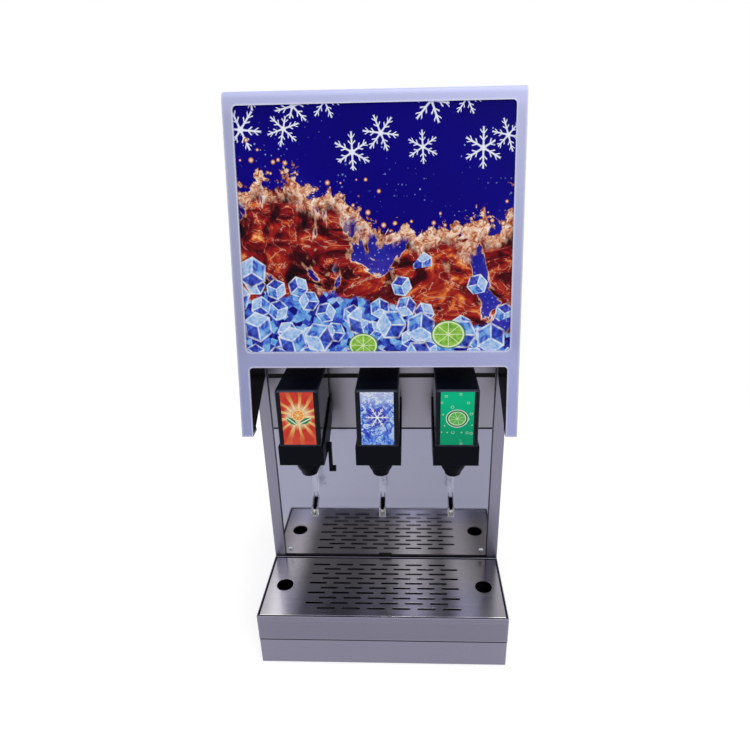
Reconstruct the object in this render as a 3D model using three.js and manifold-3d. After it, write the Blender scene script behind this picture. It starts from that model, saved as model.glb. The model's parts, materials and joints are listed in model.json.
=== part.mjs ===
// Counter-top soda fountain dispenser: a chilled cabinet with three mixing valves,
// a leaning light box over them and a drip tray with a slotted cup grille.
// Millimetres. X runs to the right, the user stands on the -Y side, Z is up.
// The origin is the middle of the footprint, on the counter.

import * as THREE from "three";
import { mergeVertices } from "three/addons/utils/BufferGeometryUtils.js";
import Module from "manifold-3d";

const wasm = await Module();
wasm.setup();

// Overall sizes
const WIDTH = 400;
const DEPTH = 500;
const HEIGHT = 860;
const BAY_DEPTH = 146;
const FITTING_REACH = 22;

// Shared sheet metal values
const SHEET = 1.5;
const SEAT_GAP = 0.3;
const OVERRUN = 3;
const FLANGE_WIDTH = 18.5;
const PANEL_RECESS = 1;
const PANEL_SIDE_GAP = 1;
const LEDGE_WIDTH = 20;
const FOLD_DEPTH = 12;

// Levels from the counter up
const FOOT_HEIGHT = 10;
const SKIRT_CLEARANCE = 1;
const PLINTH_TOP = 49.5;
const TRAY_TOP = 98;
const SPLASH_BOTTOM = 100;
const SPLASH_TOP = 357;
const VALVE_PANEL_BOTTOM = 359;
const VALVE_PANEL_TOP = 449;
const UPPER_PANEL_BOTTOM = 454.5;

// Leaning head
const FASCIA_BOTTOM = 398;
const FASCIA_FOOT_REACH = 103;
const FASCIA_TOP_REACH = 11.5;
const FASCIA_WALL = 3;
const FASCIA_TOP_RADIUS = 8;
const WING_WIDTH = 16.5;
const HEADER_BOTTOM = 499;
const WINDOW_SIDE_BORDER = 14;
const WINDOW_BOTTOM = 521;
const WINDOW_TOP_BORDER = 17;
const WINDOW_RADIUS = 5;

// Valves
const VALVE_PITCH_SHARE = 0.281;
const VALVE_NAMES = ["left", "middle", "right"];
const PORT_SPACING = 24;
const PORT_LEVEL = 421;
const PORT_RADIUS = 6;
const RUNNING_GAP = 0.4;

// Roundness of arcs
const ROUND_SIDES = 20;
const SMALL_SIDES = 10;
const CORNER_STEPS = 3;
const END_STEPS = 2;
const QUARTER = Math.PI / 2;
const TURN = Math.PI * 2;

// Planes worked out from the sizes above
const HALF = WIDTH / 2;
const FRONT = -DEPTH / 2;
const FLANGE_FRONT = FRONT + BAY_DEPTH;
const CABINET_REAR = DEPTH / 2 - FITTING_REACH;
const FLANGE_INNER = HALF - FLANGE_WIDTH;
const PANEL_HALF = FLANGE_INNER - PANEL_SIDE_GAP;
const PANEL_FRONT = FLANGE_FRONT + PANEL_RECESS;
const PANEL_BACK = PANEL_FRONT + SHEET;
const LEDGE_FRONT = PANEL_BACK + SEAT_GAP;
const LEDGE_INNER = FLANGE_INNER - LEDGE_WIDTH;
const FOLD_HALF = LEDGE_INNER - FLANGE_WIDTH / 2;
const SIDE_INNER = HALF - SHEET;
const REAR_FLANGE_FACE = CABINET_REAR - SHEET - SEAT_GAP;
const REAR_FLANGE_INNER = REAR_FLANGE_FACE - SHEET;
const LID_UNDERSIDE = HEIGHT - SHEET;
const WALL_TOP = LID_UNDERSIDE - SEAT_GAP;
const CHASSIS_TOP = FOOT_HEIGHT + SHEET;
const DECK = CHASSIS_TOP + SEAT_GAP;
const FASCIA_REAR = FLANGE_FRONT - SEAT_GAP;
const FASCIA_LEAN = Math.atan2(FASCIA_FOOT_REACH - FASCIA_TOP_REACH, HEIGHT - FASCIA_BOTTOM);
const WING_INNER = HALF - WING_WIDTH;
const WINDOW_HALF_WIDTH = HALF - WINDOW_SIDE_BORDER;
const WINDOW_TOP = HEIGHT - WINDOW_TOP_BORDER;
const VALVE_PITCH = WIDTH * VALVE_PITCH_SHARE;
const INTERIOR_FRONT = LEDGE_FRONT + SHEET;
const INTERIOR_DEPTH = REAR_FLANGE_INNER - INTERIOR_FRONT;

// A place inside the cabinet, by its share of the half width or of the inner depth
function insideX(share) {
  return share * HALF;
}

function insideY(share) {
  return INTERIOR_FRONT + share * INTERIOR_DEPTH;
}

// Geometry helpers

function weld(geometry) {
  const bare = geometry.clone();
  for (const name of Object.keys(bare.attributes)) {
    if (name !== "position") bare.deleteAttribute(name);
  }
  const merged = mergeVertices(bare);
  const index = merged.index.array;
  const position = merged.attributes.position;
  const corners = [0, 1, 2].map(() => new THREE.Vector3());
  const kept = [];
  let volume = 0;
  for (let i = 0; i < index.length; i += 3) {
    const triangle = [index[i], index[i + 1], index[i + 2]];
    if (new Set(triangle).size < 3) continue;
    corners.forEach((corner, k) => corner.fromBufferAttribute(position, triangle[k]));
    volume += corners[0].dot(corners[1].clone().cross(corners[2]));
    kept.push(triangle);
  }
  const facing = volume < 0 ? kept.map(([a, b, c]) => [a, c, b]) : kept;
  merged.setIndex(facing.flat());
  return merged;
}

function toSolid(geometry) {
  const welded = weld(geometry);
  return new wasm.Manifold(new wasm.Mesh({
    numProp: 3,
    vertProperties: new Float32Array(welded.attributes.position.array),
    triVerts: new Uint32Array(welded.index.array),
  }));
}

function toGeometry(solid) {
  const mesh = solid.getMesh();
  const geometry = new THREE.BufferGeometry();
  const position = new THREE.BufferAttribute(new Float32Array(mesh.vertProperties), 3);
  geometry.setAttribute("position", position);
  geometry.setIndex(new THREE.BufferAttribute(new Uint32Array(mesh.triVerts), 1));
  return geometry;
}

function join(...geometries) {
  return toGeometry(geometries.map(toSolid).reduce((whole, next) => whole.add(next)));
}

function cut(body, ...tools) {
  return toGeometry(tools.map(toSolid).reduce((rest, tool) => rest.subtract(tool), toSolid(body)));
}

function shapeOf(points, holes = []) {
  const shape = new THREE.Shape(points.map(([x, y]) => new THREE.Vector2(x, y)));
  shape.holes = holes.map((hole) => new THREE.Path(hole.map(([x, y]) => new THREE.Vector2(x, y))));
  return shape;
}

function extrude(shape, length) {
  return new THREE.ExtrudeGeometry(shape, { depth: length, bevelEnabled: false });
}

function extrudeUp(points, [low, high], holes) {
  return extrude(shapeOf(points, holes), high - low).translate(0, 0, low);
}

// An outline in Y and Z, run along X
function extrudeAcross(points, [left, right], holes) {
  const turn = new THREE.Matrix4().makeBasis(
    new THREE.Vector3(0, 1, 0), new THREE.Vector3(0, 0, 1), new THREE.Vector3(1, 0, 0));
  return extrude(shapeOf(points, holes), right - left).applyMatrix4(turn).translate(left, 0, 0);
}

// An outline in X and Z, run along Y
function extrudeBack(points, [front, rear], holes) {
  return extrude(shapeOf(points, holes), rear - front).rotateX(QUARTER).translate(0, rear, 0);
}

function block([left, right], [front, rear], [low, high]) {
  return new THREE.BoxGeometry(right - left, rear - front, high - low)
    .translate((left + right) / 2, (front + rear) / 2, (low + high) / 2);
}

function spread(half, middle = 0) {
  return [middle - half, middle + half];
}

function arc([x, y], radius, from, to, steps) {
  return Array.from({ length: steps + 1 }, (_, i) => {
    const angle = from + (to - from) * i / steps;
    return [x + radius * Math.cos(angle), y + radius * Math.sin(angle)];
  });
}

function circle(centre, radius, sides = ROUND_SIDES) {
  return arc(centre, radius, 0, TURN, sides).slice(0, sides);
}

function rectangle([left, right], [low, high], radius = 0, steps = CORNER_STEPS) {
  if (radius === 0) return [[left, low], [right, low], [right, high], [left, high]];
  return [
    ...arc([right - radius, low + radius], radius, -QUARTER, 0, steps),
    ...arc([right - radius, high - radius], radius, 0, QUARTER, steps),
    ...arc([left + radius, high - radius], radius, QUARTER, 2 * QUARTER, steps),
    ...arc([left + radius, low + radius], radius, 2 * QUARTER, 3 * QUARTER, steps),
  ];
}

// A slot with round ends, its length along the first axis
function slot([x, y], length, width, steps) {
  const reach = (length - width) / 2;
  return [
    ...arc([x + reach, y], width / 2, -QUARTER, QUARTER, steps),
    ...arc([x - reach, y], width / 2, QUARTER, 3 * QUARTER, steps),
  ];
}

// Rounds the corner between two straight edges
function fillet(before, corner, after, radius, steps = CORNER_STEPS) {
  const at = new THREE.Vector2(...corner);
  const back = new THREE.Vector2(...before).sub(at).normalize();
  const ahead = new THREE.Vector2(...after).sub(at).normalize();
  const half = Math.acos(THREE.MathUtils.clamp(back.dot(ahead), -1, 1)) / 2;
  const middle = back.clone().add(ahead).normalize().multiplyScalar(radius / Math.sin(half)).add(at);
  const start = back.multiplyScalar(radius / Math.tan(half)).add(at).sub(middle).angle();
  const end = ahead.multiplyScalar(radius / Math.tan(half)).add(at).sub(middle).angle();
  const sweep = THREE.MathUtils.euclideanModulo(end - start + Math.PI, TURN) - Math.PI;
  return arc([middle.x, middle.y], radius, start, start + sweep, steps);
}

// The closed outline of a sheet that is folded along a path, its thickness to the path's left
function foldedSheet(path, thickness) {
  const points = path.map(([x, y]) => new THREE.Vector2(x, y));
  const lefts = points.slice(1).map((point, i) => {
    const run = point.clone().sub(points[i]).normalize();
    return new THREE.Vector2(-run.y, run.x);
  });
  const inner = points.map((point, i) => {
    const before = lefts[Math.max(i - 1, 0)];
    const after = lefts[Math.min(i, lefts.length - 1)];
    const mitre = before.clone().add(after).divideScalar(1 + before.dot(after));
    return mitre.multiplyScalar(thickness).add(point);
  });
  return [...path, ...inner.reverse().map((point) => [point.x, point.y])];
}

// A profile of radius and height pairs, turned about Z
function revolve(profile, sides = ROUND_SIDES) {
  return new THREE.LatheGeometry(profile.map(([r, z]) => new THREE.Vector2(r, z)), sides).rotateX(QUARTER);
}

function rod(radius, [low, high], sides = SMALL_SIDES) {
  return revolve([[0, low], [radius, low], [radius, high], [0, high]], sides);
}

// The same, lying along Y with the profile's height running back
function revolveBack(profile, sides = ROUND_SIDES) {
  return revolve(profile, sides).rotateX(-QUARTER);
}

function rodBack(radius, [front, rear], sides = SMALL_SIDES) {
  return rod(radius, [front, rear], sides).rotateX(-QUARTER);
}

function rodAcross(radius, [left, right], sides = SMALL_SIDES) {
  return rod(radius, [left, right], sides).rotateY(QUARTER);
}

function mirrored(geometry) {
  return weld(geometry.clone().scale(-1, 1, 1));
}

function tube(path, radius, sides, steps) {
  return new THREE.ExtrudeGeometry(shapeOf(circle([0, 0], radius, sides)),
    { extrudePath: path, steps, bevelEnabled: false });
}

// Finishes

const finish = (color, roughness, metalness, extra = {}) => (
  new THREE.MeshStandardMaterial({ color, roughness, metalness, ...extra }));
const brushedSteel = () => finish(0x9a98a6, 0.35, 1);
const mirrorSteel = () => finish(0xb4b4c4, 0.05, 1);
const zincSteel = () => finish(0x8d9093, 0.5, 0.9);
const blackSteel = () => finish(0x17181b, 0.5, 0.4);
const copper = () => finish(0xb5734b, 0.3, 1);
const aluminium = () => finish(0xb9bcc0, 0.4, 1);
const lavenderPlastic = () => finish(0xaeb0cf, 0.4, 0.2);
const glossBlack = () => finish(0x0c0e14, 0.2, 0);
const mattBlack = () => finish(0x15161a, 0.6, 0);
const clearPlastic = () => finish(0xe6e8f4, 0.05, 0, { transparent: true, opacity: 0.4 });
const printedPanel = (color) => finish(color, 0.3, 0);
const whitePlastic = () => finish(0xe9e9ea, 0.5, 0);
const rubber = () => finish(0x1b1b1c, 0.9, 0);
const foam = () => finish(0xd9d2bd, 0.95, 0);

const dispenser = new THREE.Group();

function place(name, geometry, material, parent = dispenser) {
  const welded = weld(geometry);
  welded.computeVertexNormals();
  const mesh = new THREE.Mesh(welded, material);
  mesh.name = name;
  parent.add(mesh);
  return mesh;
}

// Base

const feet = { inset: 40, frontInset: 35, rearInset: 33, radius: 14, flare: 1, lip: 1.5 };

function footGeometry() {
  const { radius, flare, lip } = feet;
  const top = FOOT_HEIGHT - SEAT_GAP;
  return revolve([[0, 0], [radius, 0], [radius + flare, lip], [radius - flare, top], [0, top]]);
}

function addFeet() {
  const rows = { front: FRONT + feet.frontInset, rear: CABINET_REAR - feet.rearInset };
  for (const [row, y] of Object.entries(rows)) {
    for (const [side, sign] of [["left", -1], ["right", 1]]) {
      const foot = place(`foot_${row}_${side}`, footGeometry(), rubber());
      foot.position.set(sign * (HALF - feet.inset), y, 0);
    }
  }
}

const plinth = { sideInset: 0.5 };
const PLINTH_HALF = HALF - plinth.sideInset;

function plinthBox() {
  const rear = FLANGE_FRONT - SEAT_GAP;
  const path = [
    [-PLINTH_HALF, rear], [-PLINTH_HALF, FRONT], [PLINTH_HALF, FRONT], [PLINTH_HALF, rear],
  ];
  const skirt = extrudeUp(foldedSheet(path, SHEET), [SKIRT_CLEARANCE, PLINTH_TOP]);
  const top = block(spread(PLINTH_HALF - SHEET / 2), [FRONT + SHEET / 2, rear],
    [PLINTH_TOP - SHEET, PLINTH_TOP]);
  return join(skirt, top);
}

const chassis = { lip: 20, frontWallTop: 125 };

function baseChassis() {
  const half = PLINTH_HALF - SHEET - SEAT_GAP;
  const front = FRONT + SHEET + SEAT_GAP;
  const rear = REAR_FLANGE_INNER - SEAT_GAP;
  const lipTop = FOOT_HEIGHT + chassis.lip;
  const tray = extrudeAcross(
    foldedSheet([[front, lipTop], [front, FOOT_HEIGHT], [rear, FOOT_HEIGHT], [rear, lipTop]], SHEET),
    spread(half));
  const frontWall = block(spread(LEDGE_INNER - SEAT_GAP), [LEDGE_FRONT, LEDGE_FRONT + SHEET],
    [FOOT_HEIGHT, chassis.frontWallTop]);
  const notch = (sign) => {
    const sides = [sign * (LEDGE_INNER - SEAT_GAP), sign * HALF].sort((a, b) => a - b);
    return block(sides, [FLANGE_FRONT - SEAT_GAP, LEDGE_FRONT + SHEET + SEAT_GAP],
      [FOOT_HEIGHT - OVERRUN, CHASSIS_TOP + OVERRUN]);
  };
  return join(cut(tray, notch(-1), notch(1)), frontWall);
}

// Cabinet shell

const sides = {
  rearFlange: 15, bottomFlange: 15, vents: 12, ventPitch: 14, ventLength: 110, ventWidth: 3.5,
  ventBottom: 70,
};
const splashScrew = {
  fromEdge: 9.5, level: 113, radius: 2, headRadius: 4.5, headHeight: 2.4, length: 8,
};
const SCREW_X = PANEL_HALF - splashScrew.fromEdge;

function screwHole(x) {
  const { radius, level } = splashScrew;
  return rodBack(radius + RUNNING_GAP, [FLANGE_FRONT - OVERRUN, LEDGE_FRONT + SHEET + OVERRUN])
    .translate(x, 0, level);
}

function rightSidePanel() {
  const path = [
    [LEDGE_INNER, LEDGE_FRONT], [FLANGE_INNER, LEDGE_FRONT], [FLANGE_INNER, FLANGE_FRONT],
    [HALF, FLANGE_FRONT], [HALF, REAR_FLANGE_FACE], [HALF - sides.rearFlange, REAR_FLANGE_FACE],
  ];
  const sheet = extrudeUp(foldedSheet(path, SHEET), [SKIRT_CLEARANCE, WALL_TOP]);
  const shelfTop = FOOT_HEIGHT - SEAT_GAP;
  const shelf = block([SIDE_INNER - sides.bottomFlange, HALF - SHEET / 2],
    [LEDGE_FRONT + LEDGE_WIDTH, REAR_FLANGE_INNER - LEDGE_WIDTH], [shelfTop - SHEET, shelfTop]);
  const ventMiddle = (FLANGE_FRONT + CABINET_REAR) / 2;
  const vents = Array.from({ length: sides.vents }, (_, i) => extrudeAcross(
    slot([ventMiddle, sides.ventBottom + i * sides.ventPitch], sides.ventLength, sides.ventWidth, END_STEPS),
    [SIDE_INNER - OVERRUN, HALF + OVERRUN]));
  return cut(join(sheet, shelf), screwHole(SCREW_X), ...vents);
}

function splashPanel(low, high, holes, folds) {
  const outline = rectangle(spread(PANEL_HALF), [low, high]);
  const plate = extrudeBack(outline, [PANEL_FRONT, PANEL_BACK], holes);
  const strips = folds.map((level) => block(
    spread(FOLD_HALF), [PANEL_FRONT + SHEET / 2, PANEL_BACK + FOLD_DEPTH], [level, level + SHEET]));
  return join(plate, ...strips);
}

const drainNotch = { halfWidth: 11, height: 5 };

function lowerSplashPanel() {
  const { radius, level } = splashScrew;
  const holes = [-SCREW_X, SCREW_X].map(
    (x) => circle([x, level], radius + RUNNING_GAP, SMALL_SIDES));
  const panel = splashPanel(SPLASH_BOTTOM, SPLASH_TOP, holes, [SPLASH_TOP - SHEET]);
  return cut(panel, block(spread(drainNotch.halfWidth), [PANEL_FRONT - OVERRUN, PANEL_BACK + OVERRUN],
    [SPLASH_BOTTOM - OVERRUN, SPLASH_BOTTOM + drainNotch.height]));
}

function valvePanel() {
  const holes = VALVE_NAMES.flatMap((_, i) => [-1, 1].map((side) => circle(
    [valveX(i) + side * PORT_SPACING / 2, PORT_LEVEL], PORT_RADIUS + RUNNING_GAP, SMALL_SIDES)));
  const folds = [VALVE_PANEL_BOTTOM, VALVE_PANEL_TOP - SHEET];
  return splashPanel(VALVE_PANEL_BOTTOM, VALVE_PANEL_TOP, holes, folds);
}

function upperFrontPanel() {
  return splashPanel(UPPER_PANEL_BOTTOM, WALL_TOP, [], [UPPER_PANEL_BOTTOM]);
}

function splashScrewGeometry() {
  const { radius, headRadius, headHeight, length } = splashScrew;
  const seat = -SEAT_GAP;
  const dome = arc([0, seat], 1, QUARTER, 0, CORNER_STEPS)
    .map(([across, up]) => [Math.max(across * headRadius, 0), seat - (up - seat) * headHeight]);
  return revolveBack([...dome, [radius, seat], [radius, length], [0, length]], SMALL_SIDES);
}

const lid = { rim: 12, clearance: 1 };

function topLid() {
  const { rim, clearance } = lid;
  const frontEdge = LEDGE_FRONT + SHEET + clearance;
  const rearEdge = REAR_FLANGE_INNER - clearance;
  const half = SIDE_INNER - clearance;
  const plate = block(spread(HALF), [FLANGE_FRONT, CABINET_REAR], [LID_UNDERSIDE, HEIGHT]);
  const ring = extrudeUp(rectangle(spread(half), [frontEdge, rearEdge]),
    [LID_UNDERSIDE - rim, LID_UNDERSIDE + SHEET / 2],
    [rectangle(spread(half - SHEET), [frontEdge + SHEET, rearEdge - SHEET])]);
  return join(plate, ring);
}

// Rear services

const inlet = {
  x: insideX(-0.65), z: 80, halfWidth: 26, halfHeight: 34, plate: 2, housing: 26, wall: 3,
  socketHalfWidth: 12, socketLow: -26, socketHigh: -9, socketDepth: 17,
  rockerHalfWidth: 10.5, rockerLow: 3, rockerHigh: 27, rockerDepth: 14,
};
const manifold = {
  x: insideX(-0.4), z: 170, lines: 5, pitch: 32, halfHeight: 16, plate: 3, stubRadius: 7,
  barbRadius: 5, barbStep: 1, barbs: 2,
};
const exhaust = { slots: 9, pitch: 14, length: 120, width: 3.5 };

function rearPanel() {
  const half = SIDE_INNER - SEAT_GAP;
  const housing = rectangle(
    spread(inlet.halfWidth - inlet.wall + SEAT_GAP, inlet.x),
    spread(inlet.halfHeight - inlet.wall + SEAT_GAP, inlet.z));
  const stubs = manifoldPlaces().map((x) =>
    circle([x, manifold.z], manifold.stubRadius + RUNNING_GAP, SMALL_SIDES));
  const slots = Array.from({ length: exhaust.slots }, (_, i) => slot(
    [condenser.x, FAN_LEVEL + (i - (exhaust.slots - 1) / 2) * exhaust.pitch],
    exhaust.length, exhaust.width, END_STEPS));
  return extrudeBack(rectangle(spread(half), [SKIRT_CLEARANCE, WALL_TOP]),
    [CABINET_REAR - SHEET, CABINET_REAR], [housing, ...stubs, ...slots]);
}

function manifoldPlaces() {
  const { x, lines, pitch } = manifold;
  return Array.from({ length: lines }, (_, i) => x + (i - (lines - 1) / 2) * pitch);
}

function inletManifold() {
  const { lines, pitch, plate, halfHeight, z, x, stubRadius, barbRadius, barbStep, barbs } = manifold;
  const face = CABINET_REAR + SEAT_GAP;
  const outer = face + plate;
  const reach = DEPTH / 2 - outer;
  const ridge = (i) => {
    const start = outer + reach * i / barbs;
    return [[barbRadius + barbStep, start], [barbRadius, start + reach / barbs]];
  };
  const stub = () => revolveBack([
    [0, face - FOLD_DEPTH], [stubRadius, face - FOLD_DEPTH], [stubRadius, outer],
    ...Array.from({ length: barbs }, (_, i) => ridge(i)).flat(),
    [0, DEPTH / 2],
  ], SMALL_SIDES);
  const bar = extrudeBack(rectangle(spread(lines * pitch / 2, x), spread(halfHeight, z), halfHeight / 2),
    [face, outer]);
  return join(bar, ...manifoldPlaces().map((place) => stub().translate(place, 0, z)));
}

function powerInlet() {
  const { halfWidth, halfHeight, plate, housing, wall } = inlet;
  const face = CABINET_REAR + SEAT_GAP;
  const outer = face + plate;
  const flange = extrudeBack(rectangle(spread(halfWidth), spread(halfHeight), wall), [face, outer]);
  const body = block(spread(halfWidth - wall), [face - housing, outer - plate / 2],
    spread(halfHeight - wall));
  const socket = block(spread(inlet.socketHalfWidth), [outer - inlet.socketDepth, outer + OVERRUN],
    [inlet.socketLow, inlet.socketHigh]);
  const rockerBay = block(spread(inlet.rockerHalfWidth), [outer - inlet.rockerDepth, outer + OVERRUN],
    [inlet.rockerLow, inlet.rockerHigh]);
  return cut(join(flange, body), socket, rockerBay);
}

const rocker = {
  sideGap: 0.7, half: 10.3, crest: 4.5, hub: 5, pivotDepth: 6, lean: THREE.MathUtils.degToRad(8),
};

function rockerSwitch() {
  const { half, crest, hub, lean, sideGap } = rocker;
  const tip = crest + half * Math.tan(lean);
  const back = arc([0, 0], hub, QUARTER, 3 * QUARTER, CORNER_STEPS);
  const outline = [[tip, -half], [crest, 0], [tip, half], ...back];
  return extrudeAcross(outline, spread(inlet.rockerHalfWidth - sideGap)).rotateX(-lean);
}

// Head

function fasciaFront(z) {
  return FLANGE_FRONT - FASCIA_FOOT_REACH + (z - FASCIA_BOTTOM) * Math.tan(FASCIA_LEAN);
}

// A plane parallel to the leaning front, a depth behind it
function behindFascia(z, depth) {
  return fasciaFront(z) + depth / Math.cos(FASCIA_LEAN);
}

const fascia = { sideWall: 2.5, wingFootDepth: 22, wingFootRise: 7, rearFootLevel: 452, bayRadius: 5 };
const FOOT_REAR = fasciaFront(FASCIA_BOTTOM) + fascia.wingFootDepth;

function fasciaSideOutline() {
  const topFront = [fasciaFront(HEIGHT), HEIGHT];
  const foot = [fasciaFront(FASCIA_BOTTOM), FASCIA_BOTTOM];
  return [
    foot, ...fillet(foot, topFront, [FASCIA_REAR, HEIGHT], FASCIA_TOP_RADIUS),
    [FASCIA_REAR, HEIGHT], [FASCIA_REAR, fascia.rearFootLevel],
    [FOOT_REAR, FASCIA_BOTTOM + fascia.wingFootRise], [FOOT_REAR, FASCIA_BOTTOM],
  ];
}

function fasciaFrame() {
  const shell = extrudeAcross(fasciaSideOutline(), spread(HALF));
  const hollowTop = HEIGHT - FASCIA_WALL;
  const hollowBottom = FASCIA_BOTTOM + FASCIA_WALL;
  const rear = FASCIA_REAR + OVERRUN;
  const hollow = extrudeAcross([
    [behindFascia(hollowBottom, FASCIA_WALL), hollowBottom], [rear, hollowBottom],
    [rear, hollowTop], [behindFascia(hollowTop, FASCIA_WALL), hollowTop],
  ], spread(HALF - fascia.sideWall));
  const bay = extrudeBack([
    ...arc([WING_INNER - fascia.bayRadius, HEADER_BOTTOM - fascia.bayRadius], fascia.bayRadius,
      0, QUARTER, CORNER_STEPS),
    ...arc([fascia.bayRadius - WING_INNER, HEADER_BOTTOM - fascia.bayRadius], fascia.bayRadius,
      QUARTER, 2 * QUARTER, CORNER_STEPS),
    [-WING_INNER, FASCIA_BOTTOM - OVERRUN], [WING_INNER, FASCIA_BOTTOM - OVERRUN],
  ], [FRONT, rear]);
  const window = extrudeBack(
    rectangle(spread(WINDOW_HALF_WIDTH), [WINDOW_BOTTOM, WINDOW_TOP], WINDOW_RADIUS), [FRONT, rear]);
  const floor = block(spread(HALF - fascia.sideWall / 2),
    [behindFascia(HEADER_BOTTOM + FASCIA_WALL, FASCIA_WALL / 2), FASCIA_REAR],
    [HEADER_BOTTOM, HEADER_BOTTOM + FASCIA_WALL]);
  return join(cut(shell, hollow, bay, window), floor);
}

const CHEEK_DEPTH = FASCIA_WALL + SEAT_GAP;

function rightCheek() {
  const top = HEADER_BOTTOM - SEAT_GAP;
  const bottom = FASCIA_BOTTOM + FASCIA_WALL + SEAT_GAP;
  const outline = [
    [behindFascia(bottom, CHEEK_DEPTH), bottom], [FOOT_REAR, bottom],
    [FOOT_REAR, FASCIA_BOTTOM + fascia.wingFootRise], [FASCIA_REAR, fascia.rearFootLevel],
    [FASCIA_REAR, top], [behindFascia(top, CHEEK_DEPTH), top],
  ];
  return extrudeAcross(outline, [WING_INNER + SEAT_GAP, WING_INNER + CHEEK_DEPTH]);
}

const poster = { margin: 7, thickness: 3 };

function posterPanel() {
  const low = WINDOW_BOTTOM - poster.margin;
  const high = WINDOW_TOP + poster.margin;
  const outline = [
    [behindFascia(low, CHEEK_DEPTH), low], [behindFascia(low, CHEEK_DEPTH + poster.thickness), low],
    [behindFascia(high, CHEEK_DEPTH + poster.thickness), high], [behindFascia(high, CHEEK_DEPTH), high],
  ];
  return extrudeAcross(outline, spread(WINDOW_HALF_WIDTH + poster.margin));
}

const lights = { bars: 3, pitchShare: 0.645, barHalfWidth: 6, barDepth: 3, barMargin: 50 };

function lightPanel() {
  const low = HEADER_BOTTOM + FASCIA_WALL + SEAT_GAP;
  const high = WINDOW_TOP + poster.margin;
  const half = WINDOW_HALF_WIDTH + poster.margin;
  const plate = block(spread(half), [FASCIA_REAR - SHEET, FASCIA_REAR], [low, high]);
  const bars = Array.from({ length: lights.bars }, (_, i) => block(
    spread(lights.barHalfWidth, (i - (lights.bars - 1) / 2) * lights.pitchShare * WINDOW_HALF_WIDTH),
    [FASCIA_REAR - SHEET - lights.barDepth, FASCIA_REAR - SHEET / 2],
    [low + lights.barMargin / 2, high - lights.barMargin]));
  return join(plate, ...bars);
}

// Drip tray and cup grille

const tray = { wall: 1.5, rearGap: 1.3, ledge: 8, grilleGap: 2.5, grilleRecess: 1 };
const grille = {
  edgeHeight: 6, rows: 10, rowPitchShare: 0.0788, slotsPerRow: 6, slotLengthShare: 0.0765, slotWidth: 4,
  slotPitchShare: 0.10175, staggerShare: 0.25, fingerRadius: 14, fingerInset: 32,
};
const TRAY_REAR = FLANGE_FRONT - tray.rearGap;
const GRILLE_TOP = TRAY_TOP - tray.grilleRecess;
const GRILLE_FOOT = GRILLE_TOP - grille.edgeHeight;
const TRAY_LEDGE = GRILLE_FOOT - SEAT_GAP;

function dripTray() {
  const { wall, ledge } = tray;
  const floor = PLINTH_TOP + SEAT_GAP;
  const inside = (inset, levels) =>
    block(spread(HALF - inset), [FRONT + inset, TRAY_REAR - inset], levels);
  return cut(inside(0, [floor, TRAY_TOP]),
    inside(wall, [floor + wall, TRAY_LEDGE - wall]),
    inside(wall + ledge, [floor + wall, TRAY_TOP]),
    inside(wall, [TRAY_LEDGE, TRAY_TOP + OVERRUN]));
}

function cupGrille() {
  const inset = tray.wall + tray.grilleGap;
  const front = FRONT + inset;
  const rear = TRAY_REAR - inset;
  const middle = (front + rear) / 2;
  const outline = rectangle(spread(HALF - inset), [front, rear]);
  const slotPitch = grille.slotPitchShare * WIDTH;
  const slotLength = grille.slotLengthShare * WIDTH;
  const slots = [];
  for (let row = 0; row < grille.rows; row += 1) {
    const y = middle + (row - (grille.rows - 1) / 2) * grille.rowPitchShare * BAY_DEPTH;
    const stagger = (row % 2 ? -1 : 1) * slotPitch * grille.staggerShare;
    for (let column = 0; column < grille.slotsPerRow; column += 1) {
      const x = stagger + (column - (grille.slotsPerRow - 1) / 2) * slotPitch;
      slots.push(slot([x, y], slotLength, grille.slotWidth, END_STEPS));
    }
  }
  const fingerX = HALF - grille.fingerInset;
  const fingers = [-1, 1].map((side) => circle([side * fingerX, middle], grille.fingerRadius));
  const plate = extrudeUp(outline, [GRILLE_TOP - SHEET, GRILLE_TOP], [...slots, ...fingers]);
  const edge = extrudeUp(outline, [GRILLE_FOOT, GRILLE_TOP - SHEET / 2],
    [rectangle(spread(HALF - inset - SHEET), [front + SHEET, rear - SHEET])]);
  return join(plate, edge);
}

// Cooling

const bath = {
  shelfLevel: 400, shelfFold: 20, shelfFront: 5, sideGap: 16.5, frontGap: 12, rearGap: 21, headroom: 100,
  wall: 25, liner: 1.5, corner: 12, rim: 14,
};
const BATH_HALF_WIDTH = SIDE_INNER - bath.sideGap - bath.wall;
const BATH_FRONT = INTERIOR_FRONT + bath.frontGap + bath.wall;
const BATH_REAR = REAR_FLANGE_INNER - bath.rearGap - bath.wall;
const BATH_MIDDLE = (BATH_FRONT + BATH_REAR) / 2;
const BATH_TOP = HEIGHT - bath.headroom;
const BATH_FLOOR = bath.shelfLevel + SEAT_GAP + bath.wall;
const LINER_FLOOR = BATH_FLOOR + SEAT_GAP + bath.liner;
const RIM_TOP = BATH_TOP + SEAT_GAP + bath.liner;

function bathOutline(outset) {
  return rectangle(spread(BATH_HALF_WIDTH + outset), [BATH_FRONT - outset, BATH_REAR + outset], bath.corner);
}

function tankShelf() {
  const { shelfLevel, shelfFold, shelfFront } = bath;
  const front = LEDGE_FRONT + shelfFront;
  const rear = REAR_FLANGE_INNER - shelfFront;
  const fold = shelfLevel - shelfFold;
  const path = [[rear, fold], [rear, shelfLevel], [front, shelfLevel], [front, fold]];
  return extrudeAcross(foldedSheet(path, SHEET), spread(SIDE_INNER - SEAT_GAP));
}

function tankInsulation() {
  const shell = extrudeUp(bathOutline(bath.wall), [bath.shelfLevel + SEAT_GAP, BATH_TOP]);
  return cut(shell, extrudeUp(bathOutline(0), [BATH_FLOOR, BATH_TOP + OVERRUN]));
}

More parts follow.
